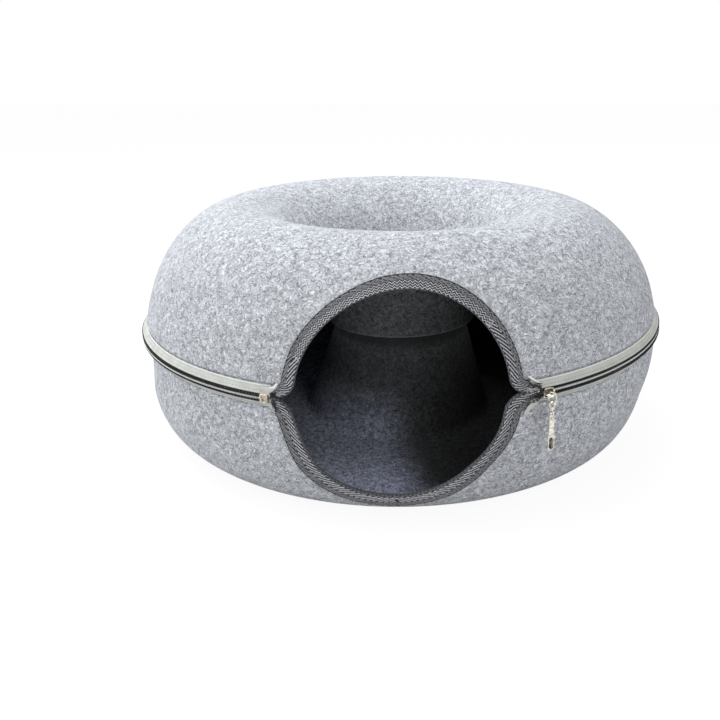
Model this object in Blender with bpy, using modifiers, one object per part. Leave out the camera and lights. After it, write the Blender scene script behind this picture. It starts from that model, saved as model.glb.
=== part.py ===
"""A donut cat tunnel of pressed felt: two half shells zipped together round a central hub.

Metres, +Z up. The entrance faces -Y. Every height in the profiles is measured from the zip plane,
and every angle round the ring from the front, positive towards +X.
"""
import math

import bmesh
import bpy
from mathutils import Matrix, Vector

# Ring of felt
FELT_RADIUS = 0.2440
FELT_THICKNESS = 0.0040
CROWN_RADIUS = 0.1573
CROWN_HEIGHT = 0.1095
SEAM_HEIGHT = 0.1055
FOOT_RADIUS = 0.1710
UPPER_FULLNESS_SHARE = 1.94
LOWER_FULLNESS_SHARE = 3.27

# Skirt of the upper half and hub of the lower half
SKIRT_RADIUS = 0.0727
SKIRT_DROP = 0.0068
HUB_FOOT_RADIUS = 0.0935
HUB_FOOT_FILLET = 0.0120
HUB_TOP_RISE = 0.0042
HUB_TOP_FILLET = 0.0100

# Entrance and its woven binding
ENTRANCE_RADIUS = 0.0800
ENTRANCE_CORNER_RADIUS = 0.0080
UPPER_ENTRANCE_SHIFT = 0.0020
LOWER_ENTRANCE_SHIFT = -0.0045
BINDING_WIDTH = 0.0105
BINDING_THICKNESS = 0.0010
BINDING_TAIL = 0.0030
BINDING_THREAD_INSET = 0.0028
BINDING_THREAD_WIDTH = 0.0010

# Zip tapes and coils
FELT_SETBACK = 0.0035
TAPE_THICKNESS = 0.0008
TAPE_INNER_EDGE = 0.0009
TAPE_STAND_OFF = 0.0025
TAPE_STEP_START = 0.0042
TAPE_STEP_END = 0.0056
UPPER_TAPE_REACH = 0.0098
LOWER_TAPE_REACH = 0.0086
COIL_THICKNESS = 0.0024
COIL_WIDTH = 0.0023
COIL_CORNER = 0.0006
THREAD_THICKNESS = 0.0005
UPPER_THREAD_INSET = 0.0037
LOWER_THREAD_INSET = 0.0012

# Slider, its bridge, the link and the puller
SLIDER_LENGTH = 0.0100
SLIDER_HEIGHT = 0.0084
SLIDER_PLATE = 0.0013
SLIDER_CORNER = 0.0025
SLIDER_POST_LENGTH = 0.0030
SLIDER_POST_WIDTH = 0.0012
BRIDGE_SPAN = 0.0074
BRIDGE_LIFT = 0.0036
BRIDGE_WIRE_RADIUS = 0.0008
BRIDGE_BEND = 0.0016
LINK_LENGTH = 0.0102
LINK_WIDTH = 0.0072
LINK_WIRE_RADIUS = 0.00065
PULLER_LENGTH = 0.0425
PULLER_THICKNESS = 0.0014
PULLER_HEAD_RADIUS = 0.0036
PULLER_EYE_RADIUS = 0.0023
PULLER_NECK_WIDTH = 0.0038
PULLER_STICK_WIDTH = 0.0050
PULLER_PADDLE_WIDTH = 0.0074
PULLER_PADDLE_LENGTH = 0.0140
PULLER_SLOT_WIDTH = 0.0038
PULLER_SLOT_LENGTH = 0.0092
PULLER_EYE_PLAY = 0.0010

# Stops of the zip
BOTTOM_STOP_LENGTH = 0.0080
BOTTOM_STOP_HEIGHT = 0.0078
BOTTOM_STOP_DEPTH = 0.0031
TOP_STOP_LENGTH = 0.0025
TOP_STOP_DEPTH = 0.0026
STOP_BEVEL = 0.0006

# Clearances, and how far a cutter runs past what it cuts
SEAT_GAP = 0.0003
RUN_GAP = 0.0005
CUT_OVERRUN = 0.0100
LID_AXIS_LIFT = 0.0045

# The zip doesn't lie quite level: it is raised, and rises towards +X
ZIP_RISE = 0.0015
ZIP_LEAN_SHARE = 0.018
LEAN_BAND = 0.0120

# Angles round the ring
SLIDER_ANGLE = math.radians(26.0)
LINK_TURN = math.radians(-60.0)

# Counts of facets
RING_STEPS = 60
CROWN_STEPS = 7
WALL_STEPS = 7
FILLET_STEPS = 3
CORNER_STEPS = 4
ARCH_STEPS = 18
WIRE_STEPS = 8

MERGE_DISTANCE = 0.00001
SMOOTH_ANGLE = math.radians(40.0)

# Sizes worked out from the ones above
TAPE_RADIUS = FELT_RADIUS + TAPE_STAND_OFF
COIL_RADIUS = TAPE_RADIUS + TAPE_THICKNESS + SEAT_GAP
ZIP_RADIUS = COIL_RADIUS + COIL_THICKNESS
PLATE_INNER_TOP = TAPE_RADIUS - RUN_GAP
PLATE_OUTER_LOW = ZIP_RADIUS + RUN_GAP
PLATE_OUTER_TOP = PLATE_OUTER_LOW + SLIDER_PLATE
BRIDGE_RADIUS = PLATE_OUTER_TOP + BRIDGE_LIFT
ENTRANCE_DEPTH = FELT_RADIUS - CROWN_RADIUS

CORNER_HEIGHT = FELT_SETBACK + ENTRANCE_CORNER_RADIUS
CORNER_CENTRE = math.sqrt((ENTRANCE_RADIUS + ENTRANCE_CORNER_RADIUS) ** 2 - CORNER_HEIGHT ** 2)
CORNER_ANGLE = math.asin(CORNER_HEIGHT / (ENTRANCE_RADIUS + ENTRANCE_CORNER_RADIUS))
ENTRANCE_SHIFT = {1: UPPER_ENTRANCE_SHIFT, -1: LOWER_ENTRANCE_SHIFT}
TAPE_END_REACH = CORNER_CENTRE + BINDING_TAIL + RUN_GAP + abs(LOWER_ENTRANCE_SHIFT)
TAPE_END_ANGLE = math.asin(TAPE_END_REACH / FELT_RADIUS)
BOTTOM_STOP_ANGLE = TAPE_END_ANGLE + (BOTTOM_STOP_LENGTH / 2 + SEAT_GAP) / COIL_RADIUS
COIL_LEFT_ANGLE = BOTTOM_STOP_ANGLE + (BOTTOM_STOP_LENGTH / 2 + SEAT_GAP) / COIL_RADIUS
TOP_STOP_ANGLE = SLIDER_ANGLE - (SLIDER_LENGTH / 2 + TOP_STOP_LENGTH / 2 + RUN_GAP) / COIL_RADIUS
COIL_RIGHT_ANGLE = TOP_STOP_ANGLE + (TOP_STOP_LENGTH / 2 + SEAT_GAP) / COIL_RADIUS

# The ring's axis lies behind the middle of the part's box by half of what the entrance takes off
FRONT_REACH = math.sqrt(FELT_RADIUS ** 2 - ENTRANCE_RADIUS ** 2 / 2)
RING_CENTRE = Vector((0.0, -(ZIP_RADIUS - FRONT_REACH) / 2, SEAM_HEIGHT))


# Scene, collections and materials

for old in list(bpy.data.objects):
    bpy.data.objects.remove(old)

parts = bpy.data.collections.new("donut_cat_tunnel")
cutters = bpy.data.collections.new("cutters")
for collection in (parts, cutters):
    bpy.context.scene.collection.children.link(collection)


def material(name, colour, roughness, metallic=0.0):
    """A Principled material of one colour."""
    made = bpy.data.materials.new(name)
    made.use_nodes = True
    shader = made.node_tree.nodes["Principled BSDF"]
    shader.inputs["Base Color"].default_value = (*colour, 1.0)
    shader.inputs["Roughness"].default_value = roughness
    shader.inputs["Metallic"].default_value = metallic
    return made


FELT_GREY = (0.40, 0.41, 0.44)
BINDING_GREY = (0.10, 0.10, 0.11)
BINDING_THREAD_GREY = (0.42, 0.42, 0.44)
TAPE_GREY = (0.42, 0.42, 0.40)
TAPE_THREAD_GREY = (0.33, 0.33, 0.32)
COIL_BLACK = (0.020, 0.020, 0.022)
PALE_METAL = (0.72, 0.70, 0.62)
STOP_METAL = (0.52, 0.46, 0.42)


# Helpers

def add_object(name, mesh, collection=parts):
    """A new object of a mesh, standing at the ring's centre."""
    made = bpy.data.objects.new(name, mesh)
    made.location = RING_CENTRE
    collection.objects.link(made)
    return made


def finish(piece, colour, roughness, metallic=0.0):
    """Gives a piece its own material."""
    piece.data.materials.clear()
    piece.data.materials.append(material(piece.name + "_finish", colour, roughness, metallic))
    return piece


def as_cutter(piece):
    """Keeps a guide out of the model."""
    piece.hide_render = True
    piece.display_type = 'WIRE'
    return piece


def boolean(piece, other, operation):
    """Adds one exact Boolean to a piece."""
    cut = piece.modifiers.new(operation.lower(), 'BOOLEAN')
    cut.object = other
    cut.operation = operation
    cut.solver = 'EXACT'
    return piece


def baked(piece):
    """Applies a piece's modifiers to its mesh."""
    bpy.context.view_layer.update()
    evaluated = piece.evaluated_get(bpy.context.evaluated_depsgraph_get())
    mesh = bpy.data.meshes.new_from_object(evaluated)
    piece.modifiers.clear()
    old = piece.data
    piece.data = mesh
    bpy.data.meshes.remove(old)
    return piece


def smooth(piece):
    """Shades round faces smooth and keeps real edges sharp."""
    piece.data.shade_smooth()
    piece.data.set_sharp_from_angle(angle=SMOOTH_ANGLE)
    return piece


def profile_mesh(name, points, closed):
    """A mesh of edges only, in the XZ plane, for a Screw modifier."""
    shape = bmesh.new()
    corners = [shape.verts.new((radius, 0.0, height)) for radius, height in points]
    for first, second in zip(corners, corners[1:]):
        shape.edges.new((first, second))
    if closed:
        shape.edges.new((corners[-1], corners[0]))
    mesh = bpy.data.meshes.new(name)
    shape.to_mesh(mesh)
    shape.free()
    return mesh


def turned(name, points, closed=False, collection=parts):
    """A profile turned once round the ring's axis."""
    piece = add_object(name, profile_mesh(name, points, closed), collection)
    screw = piece.modifiers.new("turn", 'SCREW')
    screw.axis = 'Z'
    screw.angle = math.tau
    screw.steps = RING_STEPS
    screw.render_steps = RING_STEPS
    screw.use_merge_vertices = True
    screw.merge_threshold = MERGE_DISTANCE
    return piece


def thickened(piece, inward, outward):
    """Gives a turned face a wall that reaches inward and outward from it."""
    wall = piece.modifiers.new("wall", 'SOLIDIFY')
    wall.thickness = inward + outward
    wall.offset = (outward - inward) / (inward + outward)
    wall.use_even_offset = True
    return piece


def outline_solid(name, loops, thickness, collection=parts):
    """A flat outline, with its holes, given a thickness to both sides of the XY plane."""
    curve = bpy.data.curves.new(name, 'CURVE')
    curve.dimensions = '2D'
    curve.fill_mode = 'BOTH'
    curve.extrude = thickness / 2
    for loop in loops:
        spline = curve.splines.new('POLY')
        spline.points.add(len(loop) - 1)
        for point, (across, along) in zip(spline.points, loop):
            point.co = (across, along, 0.0, 1.0)
        spline.use_cyclic_u = True
    return meshed(name, curve, collection)


def wire_solid(name, points, radius, closed, collection=parts):
    """A round wire along points."""
    curve = bpy.data.curves.new(name, 'CURVE')
    curve.dimensions = '3D'
    curve.bevel_depth = radius
    curve.bevel_resolution = 2
    curve.use_fill_caps = not closed
    spline = curve.splines.new('POLY')
    spline.points.add(len(points) - 1)
    for point, place in zip(spline.points, points):
        point.co = (*place, 1.0)
    spline.use_cyclic_u = closed
    return meshed(name, curve, collection)


def meshed(name, curve, collection):
    """Turns a curve into a mesh object with its caps welded on."""
    holder = bpy.data.objects.new(name + "_curve", curve)
    bpy.context.scene.collection.objects.link(holder)
    bpy.context.view_layer.update()
    evaluated = holder.evaluated_get(bpy.context.evaluated_depsgraph_get())
    mesh = bpy.data.meshes.new_from_object(evaluated)
    bpy.data.objects.remove(holder)
    bpy.data.curves.remove(curve)
    shape = bmesh.new()
    shape.from_mesh(mesh)
    bmesh.ops.remove_doubles(shape, verts=shape.verts, dist=MERGE_DISTANCE)
    bmesh.ops.recalc_face_normals(shape, faces=shape.faces)
    shape.to_mesh(mesh)
    shape.free()
    return add_object(name, mesh, collection)


def block(name, size, centre, bevel=0.0, collection=parts):
    """A box with rounded edges, placed in the ring's frame at the front."""
    shape = bmesh.new()
    bmesh.ops.create_cube(shape, size=1.0)
    bmesh.ops.scale(shape, vec=size, verts=shape.verts)
    if bevel > 0.0:
        bmesh.ops.bevel(shape, geom=shape.edges, offset=bevel, segments=2, profile=0.5, affect='EDGES')
    bmesh.ops.translate(shape, vec=centre, verts=shape.verts)
    mesh = bpy.data.meshes.new(name)
    shape.to_mesh(mesh)
    shape.free()
    return add_object(name, mesh, collection)


def arc(centre, radius, start, end, steps):
    """Points along an arc, both ends included."""
    turn = [start + (end - start) * i / steps for i in range(steps + 1)]
    return [(centre[0] + radius * math.cos(a), centre[1] + radius * math.sin(a)) for a in turn]


def rounded_corner(corner, before, after, radius):
    """Points of a fillet where the path turns at a corner, from one direction to another."""
    before = Vector(before).normalized()
    after = Vector(after).normalized()
    half = before.angle(after) / 2
    start = Vector(corner) - before * radius * math.tan(half)
    side = (after - before).normalized()
    centre = Vector(corner) + side * (radius / math.cos(half))
    first = start - centre
    turn = -2 * half if before.x * after.y - before.y * after.x < 0 else 2 * half
    places = []
    for i in range(FILLET_STEPS + 1):
        places.append(tuple(centre + Matrix.Rotation(turn * i / FILLET_STEPS, 2) @ first))
    return places


# Profiles of the two felt halves

def upper_wall_radius(height):
    """Radius of the upper half's outer face at a height above the zip plane."""
    share = 1.0 - (height / CROWN_HEIGHT) ** UPPER_FULLNESS_SHARE
    return CROWN_RADIUS + (FELT_RADIUS - CROWN_RADIUS) * share ** (1.0 / UPPER_FULLNESS_SHARE)


def lower_wall_radius(depth):
    """Radius of the lower half's outer face at a depth below the zip plane."""
    share = 1.0 - (depth / SEAM_HEIGHT) ** LOWER_FULLNESS_SHARE
    return FOOT_RADIUS + (FELT_RADIUS - FOOT_RADIUS) * share ** (1.0 / LOWER_FULLNESS_SHARE)


def wall_heights(edge, rise, fullness, steps):
    """Heights along a full round wall, from its edge to its far end, closer where it bends."""
    first = math.asin((edge / rise) ** (fullness / 2))
    turns = [first + (math.pi / 2 - first) * i / steps for i in range(steps + 1)]
    return [rise * math.sin(a) ** (2 / fullness) for a in turns]


def upper_profile(edge):
    """From the skirt's raw edge up the dish, over the crown and down to the zip edge."""
    inner = SKIRT_RADIUS - FELT_THICKNESS
    across = CROWN_RADIUS - inner
    rise = CROWN_HEIGHT + SKIRT_DROP
    points = []
    for i in range(CROWN_STEPS):
        turn = math.pi / 2 * i / CROWN_STEPS
        points.append((CROWN_RADIUS - across * math.cos(turn), rise * math.sin(turn) - SKIRT_DROP))
    heights = wall_heights(edge, CROWN_HEIGHT, UPPER_FULLNESS_SHARE, CROWN_STEPS)
    for height in reversed(heights):
        points.append((upper_wall_radius(height), height))
    return points


def lower_profile(edge):
    """From the zip edge down the outer wall, under the floor and up the hub to its middle."""
    heights = wall_heights(edge, SEAM_HEIGHT, LOWER_FULLNESS_SHARE, WALL_STEPS)
    points = [(lower_wall_radius(height), -height) for height in heights]
    floor = -SEAM_HEIGHT
    plateau = HUB_TOP_RISE - FELT_THICKNESS
    neck = SKIRT_RADIUS - FELT_THICKNESS - SEAT_GAP
    lean = math.atan((HUB_FOOT_RADIUS - neck) / (SEAM_HEIGHT - SKIRT_DROP))
    wall = FELT_THICKNESS / math.cos(lean)
    foot = (HUB_FOOT_RADIUS - wall, floor)
    top = (neck - wall - math.tan(lean) * (plateau + SKIRT_DROP), plateau)
    rise = (top[0] - foot[0], top[1] - foot[1])
    points += rounded_corner(foot, (-1.0, 0.0), rise, HUB_FOOT_FILLET)
    points += rounded_corner(top, rise, (-1.0, 0.0), HUB_TOP_FILLET)
    points.append((0.0, plateau))
    return points


# Outlines of the entrance, seen from the front

def entrance_edge(offset, side):
    """The entrance's edge for one half, moved into the felt by an offset.

    The edge is an arc whose two ends turn outward into the zip line; side is 1 above it, -1 below.
    """
    radius = ENTRANCE_CORNER_RADIUS - offset
    centre = (CORNER_CENTRE, CORNER_HEIGHT)
    right = arc(centre, radius, -math.pi / 2, CORNER_ANGLE - math.pi, CORNER_STEPS)
    over = arc((0.0, 0.0), ENTRANCE_RADIUS + offset, CORNER_ANGLE, math.pi - CORNER_ANGLE, ARCH_STEPS)
    left = [(-across, height) for across, height in reversed(right)]
    shift = ENTRANCE_SHIFT[side]
    return [(across + shift, side * height) for across, height in right + over[1:-1] + left]


def hole_outline(offset, side):
    """The closed outline that cuts one half's part of the entrance."""
    edge = entrance_edge(offset, side)
    right, left = edge[0][0] + offset, edge[-1][0] - offset
    return [(right, 0.0), (right, edge[0][1])] + edge[1:-1] + [(left, edge[-1][1]), (left, 0.0)]


def band_outline(inner, outer, side):
    """The closed outline of a band that follows the entrance's edge."""
    shift = ENTRANCE_SHIFT[side]
    right = shift + CORNER_CENTRE + BINDING_TAIL
    left = shift - CORNER_CENTRE - BINDING_TAIL
    outside = [(right, 0.0), (right, side * FELT_SETBACK)] + entrance_edge(outer, side)
    outside += [(left, side * FELT_SETBACK), (left, 0.0)]
    inside = [(shift + CORNER_CENTRE, 0.0)] + entrance_edge(inner, side) + [(shift - CORNER_CENTRE, 0.0)]
    return outside + list(reversed(inside))


def entrance_prism(name, outline):
    """A cutter that runs through the front wall of the ring, along Y."""
    prism = outline_solid(name, [outline], ENTRANCE_DEPTH + CUT_OVERRUN, cutters)
    prism.rotation_euler.x = math.pi / 2
    prism.location.y -= FELT_RADIUS + CUT_OVERRUN - (ENTRANCE_DEPTH + CUT_OVERRUN) / 2
    return as_cutter(prism)


# The felt halves and the binding of the entrance

PROFILES = {1: upper_profile, -1: lower_profile}
SIDE_NAMES = {1: "upper", -1: "lower"}


def felt_half(side):
    """One felt half with its part of the entrance cut out."""
    shell = turned(SIDE_NAMES[side] + "_shell", PROFILES[side](FELT_SETBACK))
    thickened(shell, FELT_THICKNESS, 0.0)
    hole = entrance_prism(SIDE_NAMES[side] + "_entrance_cutter", hole_outline(0.0, side))
    return smooth(finish(baked(boolean(shell, hole, 'DIFFERENCE')), FELT_GREY, 0.95))


def binding(side):
    """The woven tape folded over the felt's cut edge: an outer leg, the fold and an inner leg."""
    name = "entrance_binding_" + SIDE_NAMES[side]
    reach = SEAT_GAP + BINDING_THICKNESS
    tape = turned(name, PROFILES[side](FELT_SETBACK))
    thickened(tape, FELT_THICKNESS + reach, reach)
    band = entrance_prism(name + "_band", band_outline(-reach, BINDING_WIDTH, side))
    boolean(tape, band, 'INTERSECT')
    core = turned(name + "_core", PROFILES[side](FELT_SETBACK - SEAT_GAP), collection=cutters)
    thickened(core, FELT_THICKNESS + SEAT_GAP, SEAT_GAP)
    hole = entrance_prism(name + "_fold", hole_outline(-SEAT_GAP, side))
    as_cutter(baked(boolean(core, hole, 'DIFFERENCE')))
    return smooth(finish(baked(boolean(tape, core, 'DIFFERENCE')), BINDING_GREY, 0.85))


def binding_thread(side):
    """The row of sewing thread that lies on the binding's outer leg."""
    name = "binding_thread_" + SIDE_NAMES[side]
    low = BINDING_THICKNESS + 2 * SEAT_GAP
    thread = turned(name, PROFILES[side](FELT_SETBACK))
    thickened(thread, -low, low + THREAD_THICKNESS)
    outer = BINDING_WIDTH - BINDING_THREAD_INSET
    band = entrance_prism(name + "_band", band_outline(outer - BINDING_THREAD_WIDTH, outer, side))
    return smooth(finish(baked(boolean(thread, band, 'INTERSECT')), BINDING_THREAD_GREY, 0.80))


# The zip

def gap_cutter(name, left, right):
    """A wedge that opens a ring of the zip at the front, between two angles."""
    reach = ZIP_RADIUS + CUT_OVERRUN
    front = arc((0.0, 0.0), reach / math.cos(left), -math.pi / 2 - left, -math.pi / 2 + right, CORNER_STEPS)
    wedge = outline_solid(name, [[(0.0, 0.0)] + front], 2 * (UPPER_TAPE_REACH + CUT_OVERRUN), cutters)
    return as_cutter(wedge)


def opened_ring(name, section, side, left, right):
    """A ring of one closed section on one side of the zip plane, open at the entrance."""
    points = section if side > 0 else [(radius, -height) for radius, height in reversed(section)]
    ring = turned(name, points, closed=True)
    cutter = gap_cutter(name + "_cutter", left, right)
    return smooth(baked(boolean(ring, cutter, 'DIFFERENCE')))


def wall_radius(side, height):
    """Radius of either half's outer face, at a distance from the zip plane."""
    return upper_wall_radius(height) if side > 0 else lower_wall_radius(height)


def zip_tape(side):
    """Tape that lies on the felt and stands off from it beside the coil."""
    reach = UPPER_TAPE_REACH if side > 0 else LOWER_TAPE_REACH
    far = wall_radius(side, reach) + SEAT_GAP
    step = wall_radius(side, TAPE_STEP_END) + SEAT_GAP
    low = [(far, reach), (step, TAPE_STEP_END)]
    low += [(TAPE_RADIUS, TAPE_STEP_START), (TAPE_RADIUS, TAPE_INNER_EDGE)]
    high = [(radius + TAPE_THICKNESS, height) for radius, height in low]
    section = high + list(reversed(low))
    name = "zip_tape_" + SIDE_NAMES[side]
    return finish(opened_ring(name, section, side, TAPE_END_ANGLE, TAPE_END_ANGLE), TAPE_GREY, 0.80)


def zip_coil(side):
    """The space of one nylon coil, sewn to the tape's edge."""
    near = TAPE_INNER_EDGE
    far = near + COIL_WIDTH
    low, high, cut = COIL_RADIUS, ZIP_RADIUS, COIL_CORNER
    section = [(low, far), (high - cut, far), (high, far - cut)]
    section += [(high, near + cut), (high - cut, near), (low, near)]
    name = "zip_coil_" + SIDE_NAMES[side]
    return finish(opened_ring(name, section, side, COIL_LEFT_ANGLE, COIL_RIGHT_ANGLE), COIL_BLACK, 0.40)


def zip_thread(side):
    """The row of sewing thread that holds a tape to the felt."""
    reach = UPPER_TAPE_REACH if side > 0 else LOWER_TAPE_REACH
    far = reach - (UPPER_THREAD_INSET if side > 0 else LOWER_THREAD_INSET)
    near = far - THREAD_THICKNESS
    share = (near - TAPE_STEP_END) / (reach - TAPE_STEP_END)
    step = wall_radius(side, TAPE_STEP_END)
    low = step + (wall_radius(side, reach) - step) * share + TAPE_THICKNESS + 2 * SEAT_GAP
    high = low + THREAD_THICKNESS
    section = [(low, far), (high, far), (high, near), (low, near)]
    name = "zip_thread_" + SIDE_NAMES[side]
    return finish(opened_ring(name, section, side, TAPE_END_ANGLE, TAPE_END_ANGLE), TAPE_THREAD_GREY, 0.80)


def bottom_stop():
    """The metal stop clamped over both tapes at the left end."""
    size = (BOTTOM_STOP_LENGTH, BOTTOM_STOP_DEPTH, BOTTOM_STOP_HEIGHT)
    stop = block("bottom_stop", size, (0.0, -COIL_RADIUS - BOTTOM_STOP_DEPTH / 2, 0.0), STOP_BEVEL)
    stop.rotation_euler.z = -BOTTOM_STOP_ANGLE
    return smooth(finish(stop, STOP_METAL, 0.35, 1.0))


def top_stop(side):
    """The small metal stop at the end of one coil."""
    size = (TOP_STOP_LENGTH, TOP_STOP_DEPTH, COIL_WIDTH)
    height = side * (TAPE_INNER_EDGE + COIL_WIDTH / 2)
    centre = (0.0, -COIL_RADIUS - TOP_STOP_DEPTH / 2, height)
    stop = block("top_stop_" + SIDE_NAMES[side], size, centre, STOP_BEVEL)
    stop.rotation_euler.z = TOP_STOP_ANGLE
    return smooth(finish(stop, PALE_METAL, 0.35, 1.0))


# The slider, the link and the puller, modelled at the front and turned to their place

def slider_plate(name, low, high, collection):
    """One of the slider's two plates, with round corners."""
    half_length = SLIDER_LENGTH / 2 - SLIDER_CORNER
    half_height = SLIDER_HEIGHT / 2 - SLIDER_CORNER
    corners = []
    for quarter, (across, along) in enumerate(((1, 1), (-1, 1), (-1, -1), (1, -1))):
        start = quarter * math.pi / 2
        centre = (across * half_length, along * half_height)
        corners += arc(centre, SLIDER_CORNER, start, start + math.pi / 2, FILLET_STEPS)
    plate = outline_solid(name, [corners], high - low, collection)
    plate.rotation_euler.x = math.pi / 2
    plate.location.y -= (low + high) / 2
    return plate


def zip_slider():
    """Two plates round the coils, the post that parts them, and the bridge for the link."""
    slider = slider_plate("zip_slider", PLATE_OUTER_LOW, PLATE_OUTER_TOP, parts)
    low = PLATE_INNER_TOP - SLIDER_PLATE
    back = as_cutter(slider_plate("slider_back_plate", low, PLATE_INNER_TOP, cutters))
    inside = SLIDER_PLATE / 2
    depth = PLATE_OUTER_LOW - PLATE_INNER_TOP + 2 * inside
    place = -SLIDER_LENGTH / 2 + SLIDER_CORNER / 2 + SLIDER_POST_LENGTH / 2
    size = (SLIDER_POST_LENGTH, depth, SLIDER_POST_WIDTH)
    post = as_cutter(block("slider_post", size, (place, -PLATE_INNER_TOP + inside - depth / 2, 0.0),
                           collection=cutters))
    half = BRIDGE_SPAN / 2
    foot = PLATE_OUTER_TOP - inside
    points = [(-half, -foot, 0.0)]
    for centre, start in ((-half + BRIDGE_BEND, math.pi), (half - BRIDGE_BEND, math.pi / 2)):
        middle = (centre, BRIDGE_RADIUS - BRIDGE_BEND)
        bend = arc(middle, BRIDGE_BEND, start, start - math.pi / 2, FILLET_STEPS)
        points += [(across, -out, 0.0) for across, out in bend]
    points.append((half, -foot, 0.0))
    bridge = as_cutter(wire_solid("slider_bridge", points, BRIDGE_WIRE_RADIUS, False, cutters))
    baked_in_place(slider)
    for other in (back, post, bridge):
        baked_in_place(other)
        boolean(slider, other, 'UNION')
    return smooth(finish(baked(slider), PALE_METAL, 0.25, 1.0))


def baked_in_place(piece):
    """Moves a piece's turn and shift into its mesh and leaves it at the ring's centre."""
    bpy.context.view_layer.update()
    piece.data.transform(Matrix.Translation(-RING_CENTRE) @ piece.matrix_world)
    piece.matrix_world = Matrix.Translation(RING_CENTRE)
    return piece


LINK_END_RADIUS = LINK_WIDTH / 2 - LINK_WIRE_RADIUS
LINK_RUN = LINK_LENGTH / 2 - LINK_WIRE_RADIUS - LINK_END_RADIUS
LINK_TOP = BRIDGE_WIRE_RADIUS + LINK_WIRE_RADIUS + SEAT_GAP
LINK_BOTTOM = LINK_TOP - LINK_LENGTH + 2 * LINK_WIRE_RADIUS
PULLER_EYE_HEIGHT = LINK_BOTTOM + LINK_WIRE_RADIUS + PULLER_EYE_PLAY - PULLER_EYE_RADIUS


def pull_link():
    """The oval wire link, hung over the bridge and turned across it."""
    top = arc((0.0, LINK_RUN), LINK_END_RADIUS, 0.0, math.pi, WIRE_STEPS)
    low = arc((0.0, -LINK_RUN), LINK_END_RADIUS, math.pi, math.tau, WIRE_STEPS)
    middle = (LINK_TOP + LINK_BOTTOM) / 2
    points = [(across, 0.0, height + middle) for across, height in top + low]
    link = wire_solid("pull_link", points, LINK_WIRE_RADIUS, True)
    link.data.transform(Matrix.Rotation(LINK_TURN, 4, 'Z'))
    link.data.transform(Matrix.Translation((0.0, -BRIDGE_RADIUS, 0.0)))
    return smooth(finish(link, PALE_METAL, 0.22, 1.0))


def puller():
    """The flat puller: a round eye, a neck, a stick, and a paddle with a slot."""
    head = PULLER_HEAD_RADIUS
    tip = head - PULLER_LENGTH
    shoulder = tip + PULLER_PADDLE_LENGTH
    neck = PULLER_NECK_WIDTH / 2
    stick = PULLER_STICK_WIDTH / 2
    paddle = PULLER_PADDLE_WIDTH / 2
    blend = paddle - stick
    neck_turn = math.asin(neck / head)
    right = arc((0.0, 0.0), head, math.pi / 2, neck_turn - math.pi / 2, WIRE_STEPS)
    below = -head - (stick - neck)
    right += [(neck, -head), (stick, below), (stick, shoulder + blend), (paddle, shoulder - blend)]
    right += arc((0.0, tip + paddle), paddle, 0.0, -math.pi / 2, FILLET_STEPS + 1)
    left = [(-across, height) for across, height in reversed(right[1:-1])]
    eye = arc((0.0, 0.0), PULLER_EYE_RADIUS, 0.0, math.tau, 2 * WIRE_STEPS)[:-1]
    slot_end = PULLER_SLOT_WIDTH / 2
    low = tip + (PULLER_PADDLE_WIDTH - PULLER_SLOT_WIDTH) / 2 + slot_end
    high = low + PULLER_SLOT_LENGTH - PULLER_SLOT_WIDTH
    slot = arc((0.0, high), slot_end, 0.0, math.pi, WIRE_STEPS // 2)
    slot += arc((0.0, low), slot_end, math.pi, math.tau, WIRE_STEPS // 2)
    piece = outline_solid("puller", [right + left, eye, slot], PULLER_THICKNESS)
    piece.data.transform(Matrix.Rotation(math.pi / 2, 4, 'X'))
    piece.data.transform(Matrix.Translation((0.0, -BRIDGE_RADIUS, PULLER_EYE_HEIGHT)))
    return smooth(finish(piece, PALE_METAL, 0.28, 1.0))


# The lean of the zip

LEAN_TURN = Matrix.Rotation(-math.atan(ZIP_LEAN_SHARE), 4, 'Y')


def lean_rise(across, height):
    """How far the lean lifts a point: fully beside the zip, and not at all at crown and floor."""
    limit = CROWN_HEIGHT if height > 0.0 else SEAM_HEIGHT
    fade = min(1.0, max(0.0, (abs(height) - LEAN_BAND) / (limit - LEAN_BAND)))
    return (ZIP_RISE + ZIP_LEAN_SHARE * across) * (1.0 - fade * fade * (3.0 - 2.0 * fade))


def leaned(piece):
    """Moves a piece's points with the lean, so that every gap stays as it is."""
    baked_in_place(piece)
    shape = bmesh.new()
    shape.from_mesh(piece.data)
    bmesh.ops.triangulate(shape, faces=shape.faces)
    for corner in shape.verts:
        corner.co.z += lean_rise(corner.co.x, corner.co.z)
    shape.to_mesh(piece.data)
    shape.free()
    return piece


# Joints: each moving group hangs from an empty on its axis

def axis_empty(name, place):
    """An empty at a place in the world."""
    empty = bpy.data.objects.new(name, None)
    empty.empty_display_size = FELT_THICKNESS
    empty.location = place
    bpy.context.scene.collection.objects.link(empty)
    return empty


def around_ring(radius, height, angle):
    """A world point at a radius and an angle round the leaning zip."""
    place = Vector((radius * math.sin(angle), -radius * math.cos(angle), height))
    return RING_CENTRE + Vector((0.0, 0.0, ZIP_RISE)) + LEAN_TURN @ place


def attach(child, parent):
    """Parents a piece without moving it."""
    bpy.context.view_layer.update()
    child.parent = parent
    child.matrix_parent_inverse = parent.matrix_world.inverted()


lower_pieces = [felt_half(-1), binding(-1), binding_thread(-1)]
lower_pieces += [zip_tape(-1), zip_coil(-1), zip_thread(-1), bottom_stop(), top_stop(-1)]
upper_pieces = [felt_half(1), binding(1), binding_thread(1)]
upper_pieces += [zip_tape(1), zip_coil(1), zip_thread(1), top_stop(1)]
for piece in lower_pieces + upper_pieces:
    leaned(piece)

hinge = around_ring(PLATE_OUTER_LOW + SLIDER_PLATE / 2, LID_AXIS_LIFT, -BOTTOM_STOP_ANGLE)
lid_axis = axis_empty("lid_axis", hinge)
for piece in upper_pieces:
    attach(piece, lid_axis)

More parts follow.
